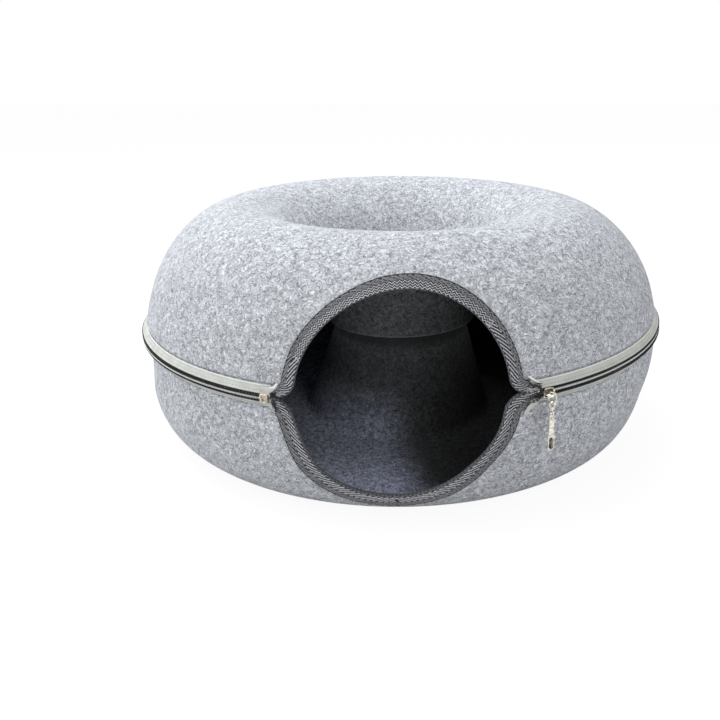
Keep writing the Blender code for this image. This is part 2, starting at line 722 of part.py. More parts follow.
slider_axis = axis_empty("slider_axis", around_ring(0.0, 0.0, 0.0))
link_axis = axis_empty("link_axis", around_ring(BRIDGE_RADIUS, 0.0, SLIDER_ANGLE))
puller_axis = axis_empty("puller_axis", around_ring(BRIDGE_RADIUS, LINK_BOTTOM, SLIDER_ANGLE))
attach(link_axis, slider_axis)
attach(puller_axis, link_axis)
slider_turn = LEAN_TURN @ Matrix.Rotation(SLIDER_ANGLE, 4, 'Z')
for piece, axis in ((zip_slider(), slider_axis), (pull_link(), link_axis), (puller(), puller_axis)):
    piece.matrix_world = Matrix.Translation(RING_CENTRE + Vector((0.0, 0.0, ZIP_RISE))) @ slider_turn
    attach(piece, axis)
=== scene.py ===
"""Dresses the donut cat tunnel: heather felt, woven binding, zip, slider and puller, on a pale stage.

Metres, +Z up. Heights are measured from the zip plane, and angles round the ring from the front,
positive towards +X.
"""

import math
import random

import bmesh
import bpy
from mathutils import Matrix, Vector


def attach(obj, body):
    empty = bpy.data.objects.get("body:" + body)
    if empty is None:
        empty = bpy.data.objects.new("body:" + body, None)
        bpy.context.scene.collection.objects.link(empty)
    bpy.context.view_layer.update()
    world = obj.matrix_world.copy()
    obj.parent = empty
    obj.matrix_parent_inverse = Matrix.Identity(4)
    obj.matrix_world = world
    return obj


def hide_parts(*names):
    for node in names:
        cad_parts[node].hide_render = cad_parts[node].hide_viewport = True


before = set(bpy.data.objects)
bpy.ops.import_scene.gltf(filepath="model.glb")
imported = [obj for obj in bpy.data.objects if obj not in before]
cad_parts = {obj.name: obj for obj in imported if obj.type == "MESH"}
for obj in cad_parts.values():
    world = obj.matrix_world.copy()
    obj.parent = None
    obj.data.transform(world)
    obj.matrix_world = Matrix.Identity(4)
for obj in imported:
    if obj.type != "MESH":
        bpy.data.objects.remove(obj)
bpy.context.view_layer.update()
bpy.ops.object.select_all(action='DESELECT')

# Ring of felt
FELT_RADIUS = 0.244
FELT_THICKNESS = 0.004
CROWN_RADIUS = 0.1573
CROWN_HEIGHT = 0.1095
SEAM_HEIGHT = 0.1055
FOOT_RADIUS = 0.171
UPPER_FULLNESS = 1.86
LOWER_FULLNESS = 3.27
FELT_SETBACK = 0.0035

# Felt that swells out beside the zip tape, where the stitching holds the tape down
SWELL = {1: 0.0014, -1: 0.0008}
SWELL_RISE = 0.0018
SWELL_FADE = 0.012
CREASE_DEPTH = 0.0007

# Skirt of the upper half and hub of the lower half
SKIRT_RADIUS = 0.0727
SKIRT_DROP = 0.0088
HUB_GAP = 0.005
HUB_FOOT_RADIUS = 0.0935
HUB_FOOT_FILLET = 0.012
HUB_TOP_RISE = 0.0042
HUB_TOP_FILLET = 0.01

# Entrance and binding
BINDING_THICKNESS = 0.001
BINDING_FOLD = 0.0007
FELT_UNDER_BINDING = 0.0045
FOLD_DEPTH = 0.0026
FOLD_SPREAD = 0.0022

# Zip
TAPE_THICKNESS = 0.0008
TAPE_INNER_EDGE = 0.0009
TAPE_STAND_OFF = 0.0025
TAPE_STEP_START = 0.0036
TAPE_STEP_END = 0.0078
TAPE_BEAD = 0.0013
TAPE_REACH = {1: 0.0088, -1: 0.008}
STITCH_HEIGHT = {1: 0.0049, -1: 0.0062}
COIL_THICKNESS = 0.0024
SEAT_GAP = 0.0003
RUN_GAP = 0.0005
TAPE_END_ANGLE = math.radians(22.976)
BOTTOM_STOP_LENGTH = 0.008
TOP_STOP_LENGTH = 0.0025
SLIDER_LENGTH = 0.01
SLIDER_HEIGHT = 0.0084
SLIDER_PLATE = 0.0013
SLIDER_ANGLE = math.radians(26.0)
BRIDGE_LIFT = 0.0036

# The zip doesn't lie quite level: it is raised, and rises towards +X
ZIP_RISE = 0.0015
ZIP_LEAN = 0.018
LEAN_BAND = 0.012
LEAN_TURN = Matrix.Rotation(-math.atan(ZIP_LEAN), 4, 'Y')

# The lower half bulges towards +X just below the zip, and slips towards -X at the floor
BULGE = 0.0026
BULGE_DEPTH = 0.055
FLOOR_SLIP = 0.0022
FLOOR_SLIP_DEPTH = 0.075

# Counts of steps
RING_STEPS = 288
DISH_STEPS = 26
WALL_STEPS = 26
SWELL_STEPS = 16
FILLET_STEPS = 7
ARCH_STEPS = 144
MERGE_DISTANCE = 0.00001
SEED_SIZE = 0.001
SLOPE_STEP = 0.0005
STEEPEST = 2.0

# Sizes worked out from the ones above
TAPE_RADIUS = FELT_RADIUS + TAPE_STAND_OFF
COIL_RADIUS = TAPE_RADIUS + TAPE_THICKNESS + SEAT_GAP
ZIP_RADIUS = COIL_RADIUS + COIL_THICKNESS
PLATE_OUTER_LOW = ZIP_RADIUS + RUN_GAP
PLATE_OUTER_TOP = PLATE_OUTER_LOW + SLIDER_PLATE
BRIDGE_RADIUS = PLATE_OUTER_TOP + BRIDGE_LIFT
BOTTOM_STOP_ANGLE = TAPE_END_ANGLE + (BOTTOM_STOP_LENGTH / 2 + SEAT_GAP) / COIL_RADIUS
COIL_LEFT_ANGLE = BOTTOM_STOP_ANGLE + (BOTTOM_STOP_LENGTH / 2 + SEAT_GAP) / COIL_RADIUS
TOP_STOP_ANGLE = SLIDER_ANGLE - (SLIDER_LENGTH / 2 + TOP_STOP_LENGTH / 2 + RUN_GAP) / COIL_RADIUS
RING_CENTRE = Vector((0.0, -0.006324, SEAM_HEIGHT))

# The upper half is side 1, the lower half side -1; a wall has a far radius, a rise and a fullness
SIDE_NAMES = {1: "upper", -1: "lower"}
SIDE_BODIES = {1: "upper_half", -1: "lower_half"}
WALLS = {1: (CROWN_RADIUS, CROWN_HEIGHT, UPPER_FULLNESS),
         -1: (FOOT_RADIUS, SEAM_HEIGHT, LOWER_FULLNESS)}


# Shader arithmetic

class Value:
    """A shader socket in arithmetic; each expression adds its Math nodes."""

    def __init__(self, finish, socket):
        self.finish = finish
        self.socket = socket

    def maths(self, operation, *values):
        return self.finish.node("ShaderNodeMath", {"operation": operation}, dict(enumerate(values)))

    def __add__(self, other):
        return self.maths('ADD', self, other)

    def __sub__(self, other):
        return self.maths('SUBTRACT', self, other)

    def __rsub__(self, other):
        return self.maths('SUBTRACT', other, self)

    def __mul__(self, other):
        return self.maths('MULTIPLY', self, other)

    __radd__ = __add__
    __rmul__ = __mul__

    def absolute(self):
        return self.maths('ABSOLUTE', self)

    def wave(self):
        """A sine that runs between 0 and 1."""
        return self.maths('SINE', self) * 0.5 + 0.5

    def smaller(self, other):
        return self.maths('MINIMUM', self, other)

    def ramp(self, low, high, start=0.0, end=1.0):
        """Runs smoothly from start to end as the value goes from low to high."""
        inputs = {"Value": self, "From Min": low, "From Max": high, "To Min": start, "To Max": end}
        return self.finish.node("ShaderNodeMapRange", {"interpolation_type": 'SMOOTHSTEP'}, inputs)


class Finish:
    """A material for one finish, with the nodes that make it."""

    def __init__(self, name, roughness=0.5, metallic=0.0):
        self.material = bpy.data.materials.new(name)
        self.material.use_nodes = True
        self.nodes = self.material.node_tree.nodes
        self.links = self.material.node_tree.links
        self.shader = self.nodes["Principled BSDF"]
        self.surface(Roughness=roughness, Metallic=metallic)

    def set(self, socket, value):
        if isinstance(value, Value):
            self.links.new(value.socket, socket)
        elif isinstance(value, tuple) and socket.type == 'RGBA' and len(value) == 3:
            socket.default_value = (*value, 1.0)
        else:
            socket.default_value = value

    def node(self, kind, settings=None, inputs=None, output=0):
        """Adds a node: its settings first, then the values or links of its sockets."""
        made = self.nodes.new(kind)
        for key, value in (settings or {}).items():
            if key == "stops":
                for stop, (place, colour) in zip(made.color_ramp.elements, value):
                    stop.position = place
                    stop.color = (*colour, 1.0)
            else:
                setattr(made, key, value)
        for key, value in (inputs or {}).items():
            self.set(made.inputs[key], value)
        return Value(self, made.outputs[output])

    def place(self, kind="Object"):
        """The place on the piece in metres, or by its UV map."""
        return self.node("ShaderNodeTexCoord", output=kind)

    def axes(self, vector):
        split = self.node("ShaderNodeSeparateXYZ", inputs={"Vector": vector}).socket.node
        return [Value(self, out) for out in split.outputs]

    def on_ring(self):
        """The place relative to the ring's centre, with the lean of the zip taken out of its height."""
        across, along, up = self.axes(self.vector_maths('SUBTRACT', self.place(), tuple(RING_CENTRE)))
        return across, along, up - across * ZIP_LEAN - ZIP_RISE

    def vector_maths(self, operation, first, second):
        return self.node("ShaderNodeVectorMath", {"operation": operation}, {0: first, 1: second})

    def mix(self, share, first, second, blend='MIX'):
        settings = {"data_type": 'RGBA', "blend_type": blend}
        return self.node("ShaderNodeMix", settings, {0: share, 6: first, 7: second}, output=2)

    def noise(self, vector, scale, detail=2.0, roughness=0.5, output="Fac"):
        inputs = {"Vector": vector, "Scale": scale, "Detail": detail, "Roughness": roughness}
        return self.node("ShaderNodeTexNoise", {}, inputs, output)

    def bump(self, height, distance):
        """Sends a height, in shares of a distance in metres, to the shader's normal."""
        inputs = {"Height": height, "Distance": distance}
        self.surface(Normal=self.node("ShaderNodeBump", inputs=inputs))

    def surface(self, **values):
        for key, value in values.items():
            self.set(self.shader.inputs[key.replace("_", " ")], value)


# Finishes

def warped(finish, place, scale, amount):
    """A place bent by a coarse noise, so that a pattern on it curls."""
    bend = finish.noise(place, scale, 1.0, output="Color")
    push = finish.vector_maths('SUBTRACT', bend, (0.5,) * 3)
    push = finish.vector_maths('MULTIPLY', push, (amount,) * 3)
    return finish.vector_maths('ADD', place, push)


def fibre(finish, place, scale, width):
    """Thin curling lines, where a noise crosses its middle value."""
    return (finish.noise(place, scale, 1.0) - 0.5).absolute().ramp(0.0, width, 1.0, 0.0)


def felt_finish(name, dark, middle, light, paint_light=None):
    """Heather felt: pale and dark fibres tangled in a grey ground; a given function paints light and
    shade into the colour.
    """
    felt = Finish(name, roughness=0.95)
    place = felt.place()
    curled = warped(felt, place, 190.0, 0.006)
    stretched = felt.vector_maths('MULTIPLY', curled, (1.0, 1.0, 2.2))
    shifted = felt.vector_maths('ADD', curled, (0.31, 0.17, 0.53))
    grain = felt.noise(stretched, 520.0, 3.0, 0.7)
    tangle = felt.noise(shifted, 210.0, 2.0, 0.65)
    pale = fibre(felt, curled, 300.0, 0.045) * 0.55
    deep = fibre(felt, shifted, 260.0, 0.04) * 0.6
    cloud = felt.noise(place, 38.0, 2.0)
    tone = grain.ramp(0.36, 0.64) * 0.62 + tangle.ramp(0.34, 0.66) * 0.38 + (cloud - 0.5) * 0.22
    ramp = {"stops": [(0.0, dark), (1.0, middle)]}
    low = felt.node("ShaderNodeValToRGB", ramp, {"Fac": tone.ramp(0.0, 0.5)})
    ground = felt.mix(tone.ramp(0.45, 1.0), low, light)
    ground = felt.mix(pale, ground, tuple(min(1.0, 1.16 * part) for part in light))
    ground = felt.mix(deep, ground, tuple(0.8 * part for part in dark))
    felt.surface(Base_Color=paint_light(felt, ground) if paint_light else ground)
    felt.bump(tone * 0.7 + pale * 0.3 - deep * 0.3, 0.0008)
    return felt.material


def skirt_painted_highlight(felt, ground):
    """A painted highlight on the skirt's raw edge: paler at its lowest part."""
    up = felt.on_ring()[2]
    return felt.mix(up.ramp(-0.007, -0.0082) * 0.35, ground, (0.42, 0.44, 0.43))


def tunnel_painted_light(felt, ground):
    """Painted light and shade: a bluer, paler pool of painted light on the floor inside the entrance,
    and painted shade to the right and where the skirt covers the felt.
    """
    across, along, up = felt.on_ring()
    # Masks of the painted pool of light: low on the floor, near the entrance and towards -X.
    low = up.ramp(-0.045, -0.1, 0.0, 0.4) + along.ramp(-0.09, -0.225, 0.0, 0.6)
    left = (across + along * 0.21).ramp(0.0, -0.042)
    pale = felt.mix(1.0, ground, (8.0, 8.2, 10.4), 'MULTIPLY')
    ground = felt.mix(low * left * up.ramp(-0.03, -0.06), ground, pale)
    # Painted shade to the right.
    ground = felt.mix(across.ramp(0.01, 0.07) * 0.55, ground, (0.01,) * 3)
    # Painted shade where the skirt covers the felt.
    return felt.mix(up.ramp(-0.026, -0.015) * 0.85, ground, (0.004,) * 3)


# Ribs of the tape round the whole ring, and turns of the other patterns in radians per metre
TAPE_RIBS = 1550.0
HERRINGBONE = 5200.0
BINDING_RIBS = 1114.0
BINDING_RIB_SLANT = 26.0
BINDING_CROSS_PITCH = 0.0031
# Heights of the painted highlight along the upper tape's top edge, in metres.
TAPE_PAINTED_HIGHLIGHT = (0.0079, 0.0085)


def tape_finish(name, dark, light):
    """Zip tape: fine ribs across it, a pale herringbone, and a painted highlight along the upper tape's
    top edge.
    """
    tape = Finish(name, roughness=0.85)
    across, along, up = tape.on_ring()
    angle = tape.node("ShaderNodeMath", {"operation": 'ARCTAN2'}, {0: across, 1: along})
    run = angle * TAPE_RIBS
    rib = run.wave()
    wale = (up * HERRINGBONE + run * 0.5).wave()
    soil = tape.noise(tape.place(), 120.0, 3.0)
    tone = rib * 0.35 + wale * 0.35 + soil.ramp(0.3, 0.7) * 0.3
    cloth = tape.mix(tone, dark, light)
    tape.surface(Base_Color=tape.mix(up.ramp(*TAPE_PAINTED_HIGHLIGHT) * 0.7, cloth, (0.8, 0.8, 0.77)))
    tape.bump(rib * 0.5 + wale * 0.5, 0.0002)
    return tape.material


def thread_finish(name, dark, light):
    """Sewing thread with a twist."""
    thread = Finish(name, roughness=0.75)
    twist = thread.noise(thread.place(), 1400.0, 2.0)
    thread.surface(Base_Color=thread.mix(twist.ramp(0.35, 0.65), dark, light))
    thread.bump(twist, 0.0002)
    return thread.material


def binding_finish():
    """Woven binding: a dark line at the felt, a ribbed outer band, and painted shade under the
    stitching.
    """
    woven = Finish("binding_woven", roughness=0.9)
    along, across, _ = woven.axes(woven.place("UV"))
    rib = (along * BINDING_RIBS + across * BINDING_RIB_SLANT).wave()
    crossing = (along * (math.tau / BINDING_CROSS_PITCH)).wave()
    worn = woven.noise(woven.place(), 900.0, 3.0, 0.6)
    tone = (rib * 0.5 + crossing * 0.25 + worn.ramp(0.3, 0.7) * 0.25).ramp(0.25, 0.75)
    ribbed = woven.mix(tone, (0.008, 0.008, 0.009), (0.2, 0.205, 0.22))
    # Painted shade among the rows of stitching; the outer band blends partly into it towards the felt,
    # as painted shade too.
    under = woven.mix(tone, (0.006, 0.006, 0.007), (0.06, 0.06, 0.064))
    outer = across.ramp(0.36, 0.44, 1.0, 0.0) * across.ramp(0.0, 0.36, 0.55, 1.0)
    cloth = woven.mix((outer + across.ramp(0.94, 1.06) * 0.7).smaller(1.0), under, ribbed)
    woven.surface(Base_Color=woven.mix(across.ramp(0.04, 0.1, 1.0, 0.0), cloth, (0.01, 0.01, 0.011)))
    woven.bump(rib * 0.7 + worn * 0.3, 0.0004)
    return woven.material


def coil_finish():
    """Black nylon coil, with a painted highlight where the two coils' heads meet."""
    coil = Finish("zip_coil_black", roughness=0.55)
    across, _, up = coil.on_ring()
    # Painted highlight along the line where the heads meet.
    painted_head_highlight = (up - 0.0002 - across * 0.003).absolute().ramp(0.0006, 0.0009, 1.0, 0.0)
    grime = coil.noise(coil.place(), 900.0, 2.0)
    black = coil.mix(grime, (0.006, 0.006, 0.007), (0.018, 0.018, 0.02))
    coil.surface(Base_Color=coil.mix(painted_head_highlight, black, (0.66, 0.66, 0.64)), Specular_IOR_Level=0.25)
    return coil.material


def metal_finish(name, dark, light, roughness):
    """Plated zinc with fine scratches and duller hollows."""
    metal = Finish(name, metallic=1.0)
    stretched = metal.vector_maths('MULTIPLY', metal.place(), (1.0, 1.0, 0.12))
    scratched = metal.noise(stretched, 2600.0, 3.0)
    cloud = metal.noise(metal.place(), 420.0, 2.0)
    metal.surface(Base_Color=metal.mix(cloud.ramp(0.35, 0.65), dark, light),
                  Roughness=scratched.ramp(0.3, 0.7, roughness * 0.8, roughness * 1.35))
    metal.bump(scratched * 0.5 + cloud * 0.5, 0.00005)
    return metal.material


FELT = felt_finish("felt_heather", (0.16, 0.165, 0.175), (0.4, 0.41, 0.43), (0.64, 0.655, 0.69))
# The tunnel's felt is a darker copy of the outer felt: painted shade for the inside of the ring, with a
# painted pool of light on its floor.
FELT_TUNNEL_PAINTED_LIGHT = felt_finish("felt_tunnel_painted_light", (0.022, 0.023, 0.023), (0.078, 0.081, 0.082),
                          (0.165, 0.17, 0.175), tunnel_painted_light)
# The skirt's felt is a darker copy too: painted shade, with a painted highlight on its raw edge.
FELT_SKIRT_PAINTED_LIGHT = felt_finish("felt_skirt_painted_light", (0.05, 0.054, 0.056), (0.18, 0.19, 0.192), (0.36, 0.375, 0.38),
                         skirt_painted_highlight)
TAPE = tape_finish("zip_tape_woven", (0.31, 0.32, 0.29), (0.52, 0.53, 0.49))
TAPE_THREAD = thread_finish("zip_thread_grey", (0.15, 0.15, 0.15), (0.3, 0.3, 0.29))
BINDING = binding_finish()
BINDING_THREAD = thread_finish("binding_thread_grey", (0.25, 0.25, 0.26), (0.52, 0.52, 0.54))
BINDING_THREAD_DARK = thread_finish("binding_thread_dark", (0.11, 0.11, 0.115), (0.25, 0.25, 0.26))
COIL = coil_finish()
STOP_BLACK = metal_finish("metal_stop_black", (0.01, 0.01, 0.011), (0.035, 0.033, 0.033), 0.5)
METAL = metal_finish("metal_pale_gold", (0.56, 0.52, 0.42), (0.88, 0.85, 0.77), 0.26)
# Dark metal used as painted shade: in the slider's sunk middle, in the puller's slot and in the dark
# discs on its neck.
METAL_PAINTED_SHADE = metal_finish("metal_dark_painted_shade", (0.05, 0.045, 0.04), (0.2, 0.18, 0.16), 0.5)
STOP_METAL = metal_finish("metal_stop_brown", (0.38, 0.33, 0.28), (0.68, 0.62, 0.53), 0.42)


# Modelling helpers

def active_piece(name):
    piece = bpy.context.active_object
    piece.name = name
    piece.data.name = name
    return piece


def edit(mode):
    bpy.ops.object.mode_set(mode=mode)


def select_only(*chosen):
    bpy.ops.object.select_all(action='DESELECT')
    for piece in chosen:
        piece.select_set(True)
    bpy.context.view_layer.objects.active = chosen[0]


def opened(piece):
    """Opens a piece for editing with all of it selected."""
    select_only(piece)
    edit('EDIT')
    bpy.ops.mesh.select_all(action='SELECT')


def given(materials, *pieces):
    for piece in pieces:
        for made in materials:
            piece.data.materials.append(made)


def joined(piece, *others):
    select_only(piece, *others)
    if others:
        bpy.ops.object.join()


def spread(low, high, steps):
    return [low + (high - low) * i / steps for i in range(steps + 1)]


def drawn(name, points, closed=False):
    """A line drawn from point to point by extruding one vertex."""
    bpy.ops.mesh.primitive_plane_add(size=SEED_SIZE, location=points[0])
    piece = active_piece(name)
    edit('EDIT')
    bpy.ops.mesh.merge(type='CENTER')
    for before, after in zip(points, points[1:]):
        step = Vector(after) - Vector(before)
        bpy.ops.mesh.extrude_vertices_move(TRANSFORM_OT_translate={"value": step})
    if closed:
        shape = bmesh.from_edit_mesh(piece.data)
        shape.verts.ensure_lookup_table()
        for vertex in shape.verts:
            vertex.select_set(len(vertex.link_edges) < 2)
        bmesh.update_edit_mesh(piece.data)
        bpy.ops.mesh.edge_face_add()
    edit('OBJECT')
    return settle(piece)


def settle(piece):
    """Puts a piece's place into its mesh."""
    select_only(piece)
    bpy.ops.object.transform_apply(location=True, rotation=True, scale=True)
    return piece


def cleaned(piece):
    """Merges doubles and turns the faces outward."""
    opened(piece)
    bpy.ops.mesh.remove_doubles(threshold=MERGE_DISTANCE)
    bpy.ops.mesh.normals_make_consistent(inside=False)
    edit('OBJECT')
    return piece


def spun(name, section, start=0.0, turn=math.tau, closed=False):
    """A section of radii and heights, spun round the ring's axis from one angle."""
    points = [around_ring(radius, height, start) for radius, height in section]
    return cleaned(swept(drawn(name, points, closed), turn, RING_STEPS))


def swept(piece, turn, steps, copies=False):
    """Spins a shape round the ring's axis, or copies it along the ring, inside its own mesh."""
    opened(piece)
    bpy.ops.mesh.spin(steps=steps, dupli=copies, angle=turn, center=RING_CENTRE, axis=(0.0, 0.0, -1.0))
    edit('OBJECT')
    return piece


def applied(piece, kind, **settings):
    """Adds one modifier with its settings and applies it."""
    select_only(piece)
    made = piece.modifiers.new(kind.lower(), kind)
    for key, value in settings.items():
        setattr(made, key, value)
    bpy.ops.object.modifier_apply(modifier=made.name)
    return piece


def turned(piece, angle):
    opened(piece)
    bpy.ops.transform.rotate(value=angle, orient_axis='Z', center_override=RING_CENTRE)
    edit('OBJECT')


def lean_rise(across, height):
    """How far the lean lifts a point: fully beside the zip, and not at all at crown and floor."""
    limit = CROWN_HEIGHT if height > 0.0 else SEAM_HEIGHT
    fade = eased((abs(height) - LEAN_BAND) / (limit - LEAN_BAND))
    return (ZIP_RISE + ZIP_LEAN * across) * (1.0 - fade)


def leaned(piece):
    """Moves a piece's points with the lean of the zip, and with the lower half's bulge and slip."""
    for vertex in piece.data.vertices:
        place = vertex.co - RING_CENTRE
        if place.z < 0.0:
            bulge = BULGE * math.sin(math.pi * min(1.0, -place.z / BULGE_DEPTH))
            vertex.co.x += bulge - FLOOR_SLIP * eased(-place.z / FLOOR_SLIP_DEPTH)
        vertex.co.z += lean_rise(place.x, place.z)


def carried(piece):
    """Turns a piece that is modelled at the front to the slider's place on the leaning zip."""
    turn = LEAN_TURN @ Matrix.Rotation(SLIDER_ANGLE, 4, 'Z')
    rise = Matrix.Translation(RING_CENTRE + Vector((0.0, 0.0, ZIP_RISE)))
    piece.matrix_world = rise @ turn @ Matrix.Translation(-RING_CENTRE)
    settle(piece)


def finished(piece, body, materials, nodes=(), smooth=50.0):
    """Shades a piece, gives it its finish, and fixes it to its body, or to the half of a side."""
    if body in SIDE_BODIES:
        body = SIDE_BODIES[body]
        leaned(piece)
    else:
        carried(piece)
    select_only(piece)
    bpy.ops.object.shade_smooth_by_angle(angle=math.radians(smooth))
    if materials:
        piece.data.materials.clear()
        given(materials, piece)
    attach(piece, body)
    if nodes:
        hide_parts(*nodes)


# Places on the ring

def at_front(across, out, height):
    return RING_CENTRE + Vector((across, -out, height))


def around_ring(radius, height, angle):
    return at_front(radius * math.sin(angle), radius * math.cos(angle), height)


def eased(share):
    share = min(1.0, max(0.0, share))
    return share * share * (3.0 - 2.0 * share)


def swell(side, height):
    """How far the felt swells out past the crease at the tape's sewn edge."""
    past = height - TAPE_REACH[side]
    if past < 0.0:
        return 0.0
    dip = CREASE_DEPTH * math.sin(math.pi * min(1.0, past / SWELL_RISE))
    full = eased((past - SWELL_RISE / 3) / SWELL_RISE)
    return SWELL[side] * full * math.exp(-past / SWELL_FADE) - dip


def wall_radius(side, height):
    """Radius of a half's outer face at a distance from the zip plane."""
    far, rise, fullness = WALLS[side]
    share = max(0.0, 1.0 - (max(0.0, height) / rise) ** fullness)
    return far + (FELT_RADIUS - far) * share ** (1.0 / fullness) + swell(side, height)


def on_wall(side, across, height, lift):
    """The point of a front wall at a place seen from the front, lifted square off the felt."""
    near, far = (wall_radius(side, height + step) for step in (-SLOPE_STEP, SLOPE_STEP))
    slope = (far - near) / (2 * SLOPE_STEP)
    radius = wall_radius(side, height) + lift * min(STEEPEST, math.sqrt(1.0 + slope * slope))
    return at_front(across, math.sqrt(radius ** 2 - across ** 2), side * height)


def wall_heights(side):
    """Heights of a wall's points, closer where it bends and beside the tape."""
    _, rise, fullness = WALLS[side]
    first = math.asin((FELT_SETBACK / rise) ** (fullness / 2))
    heights = [rise * math.sin(a) ** (2 / fullness) for a in spread(first, math.pi / 2, WALL_STEPS)]
    low = TAPE_REACH[side] - SWELL_RISE / 2
    high = TAPE_REACH[side] + 4 * SWELL_RISE
    return sorted([h for h in heights if not low <= h <= high] + spread(low, high, SWELL_STEPS))


# The felt halves

def arc(centre, radius, start, end, steps):
    turns = spread(start, end, steps)
    return [(centre[0] + radius * math.cos(a), centre[1] + radius * math.sin(a)) for a in turns]


def rounded_corner(corner, before, after, radius):
    """Points of a fillet where a profile turns at a corner."""
    before = Vector(before).normalized()
    after = Vector(after).normalized()
    half = before.angle(after) / 2
    start = Vector(corner) - before * radius * math.tan(half)
    centre = Vector(corner) + (after - before).normalized() * (radius / math.cos(half))
    turn = -2 * half if before.x * after.y - before.y * after.x < 0 else 2 * half
    first = start - centre
    return [tuple(centre + Matrix.Rotation(a, 2) @ first) for a in spread(0.0, turn, FILLET_STEPS)]


def upper_section():
    """From the skirt's raw edge up the dish, over the crown and down to the zip."""
    inner = SKIRT_RADIUS - FELT_THICKNESS
    across = CROWN_RADIUS - inner
    rise = CROWN_HEIGHT + SKIRT_DROP
    turns = spread(0.0, math.pi / 2, DISH_STEPS)[:-1]
    dish = [(CROWN_RADIUS - across * math.cos(t), rise * math.sin(t) - SKIRT_DROP) for t in turns]
    return dish + [(wall_radius(1, h), h) for h in reversed(wall_heights(1))]


def lower_section():
    """From the zip down the outer wall, under the floor and up the hub to its middle."""
    wall = [(wall_radius(-1, h), -h) for h in wall_heights(-1)]
    plateau = HUB_TOP_RISE - FELT_THICKNESS
    neck = SKIRT_RADIUS - FELT_THICKNESS - HUB_GAP
    lean = math.atan((HUB_FOOT_RADIUS - neck) / (SEAM_HEIGHT - SKIRT_DROP))
    thick = FELT_THICKNESS / math.cos(lean)
    foot = (HUB_FOOT_RADIUS - thick, -SEAM_HEIGHT)
    top = (neck - thick - math.tan(lean) * (plateau + SKIRT_DROP), plateau)
    rise = (top[0] - foot[0], top[1] - foot[1])
    hub = rounded_corner(foot, (-1.0, 0.0), rise, HUB_FOOT_FILLET)
    hub += rounded_corner(top, rise, (-1.0, 0.0), HUB_TOP_FILLET)
    return wall + hub + [(0.0, plateau)]


class Edge:
    """One half's edge of the entrance, from the front: an arc whose ends turn outward at the zip."""

    def __init__(self, **sizes):
        vars(self).update(sizes)
        fall = math.asin((self.setback + self.corner - self.lift) / (self.radius + self.corner))
        self.corner_length = self.corner * (math.pi / 2 - fall)
        self.length = 2 * self.corner_length + self.radius * (math.pi - 2 * fall)

    def place(self, along, inset):
        """The place at a length along the edge, from its +X end, moved into the felt."""
        across, height = self.half(min(along, self.length - along), inset)
        across = across if along < self.length / 2 else -across
        high = min(1.0, max(0.0, (height - self.lift) / self.radius)) ** 2
        return self.shift + across, height + (self.tilt * across - self.sag) * high

    def half(self, along, inset):
        """The same on the +X half, before the shift, the tilt and the sag."""
        corner = max(0.0, self.corner - inset)
        height = self.setback + inset + corner
        reach = self.radius + inset + corner
        start = math.asin((height - self.lift) / reach)
        centre = reach * math.cos(start)
        if along < 0.0:
            return centre - along, height - corner
        if along < self.corner_length:
            turn = -math.pi / 2 - along / self.corner
            return centre + corner * math.cos(turn), height + corner * math.sin(turn)
        share = (along - self.corner_length) / (self.length / 2 - self.corner_length)
        turn = start + (math.pi / 2 - start) * share
        reach = self.radius + inset
        return reach * math.cos(turn), self.lift + reach * math.sin(turn)

    def width_at(self, along):
        """The binding's width, which narrows towards its two ends."""
        near = min(along + self.tails[0], self.length + self.tails[1] - along)
        return self.width * (TAIL_SHARE + (1.0 - TAIL_SHARE) * eased(near / TAIL_TAPER))


TAIL_TAPER = 0.011
TAIL_SHARE = 0.34
EDGES = {1: Edge(shift=0.0012, lift=0.0005, radius=0.0806, corner=0.014, setback=0.0016, width=0.0089,
                 tails=(0.0079, 0.0006), tilt=0.055, sag=0.001),
         -1: Edge(shift=-0.0032, lift=-0.0015, radius=0.0805, corner=0.018, setback=0.0, width=0.0112,
                  tails=(0.0063, -0.0046), tilt=0.0, sag=0.0)}


def entrance_cutter(side):
    """A prism through the front wall, with the felt's outline under one half's binding."""
    edge = EDGES[side]
    line = [edge.place(along, FELT_UNDER_BINDING) for along in spread(0.0, edge.length, ARCH_STEPS)]
    line = [(line[0][0], -FELT_SETBACK)] + line + [(line[-1][0], -FELT_SETBACK)]
    front = FELT_RADIUS + 2 * FELT_SETBACK
    points = [at_front(across, front, side * height) for across, height in line]
    prism = drawn("entrance_cutter", points, closed=True)
    opened(prism)
    bpy.ops.mesh.edge_face_add()
    bpy.ops.mesh.extrude_region_move(TRANSFORM_OT_translate={"value": (0.0, front - CROWN_RADIUS, 0.0)})
    edit('OBJECT')
    return cleaned(prism)


def felt_half(side):
    """One pressed felt half: spun, given its wall, cut for the entrance."""
    name = "felt_" + SIDE_NAMES[side]
    shell = spun(name, upper_section() if side > 0 else lower_section())
    # The inner faces take the darker copies of the felt: painted shade inside the ring.
    given((FELT, FELT_SKIRT_PAINTED_LIGHT if side > 0 else FELT_TUNNEL_PAINTED_LIGHT), shell)
    applied(shell, 'SOLIDIFY', thickness=FELT_THICKNESS, offset=-1.0, use_even_offset=True,
            material_offset=1, material_offset_rim=0)
    cutter = entrance_cutter(side)
    applied(shell, 'BOOLEAN', object=cutter, operation='DIFFERENCE', solver='MANIFOLD')
    bpy.ops.object.material_slot_remove_unused()
    bpy.data.objects.remove(cutter)
    finished(shell, side, [], [SIDE_NAMES[side] + "_shell"])


# The binding of the entrance

BINDING_LIFT = SEAT_GAP + BINDING_THICKNESS / 2
BINDING_STEPS = 300
LEG_STEPS = 8
END_CLIMB = 0.0058
END_START = 0.0005
END_RUN = 0.0045


def inner_lift(inset):
    """How deep the inner leg lies: the felt's edge is squeezed thin under the fold."""
    return -FOLD_DEPTH - FOLD_SPREAD * eased(inset / FELT_UNDER_BINDING)


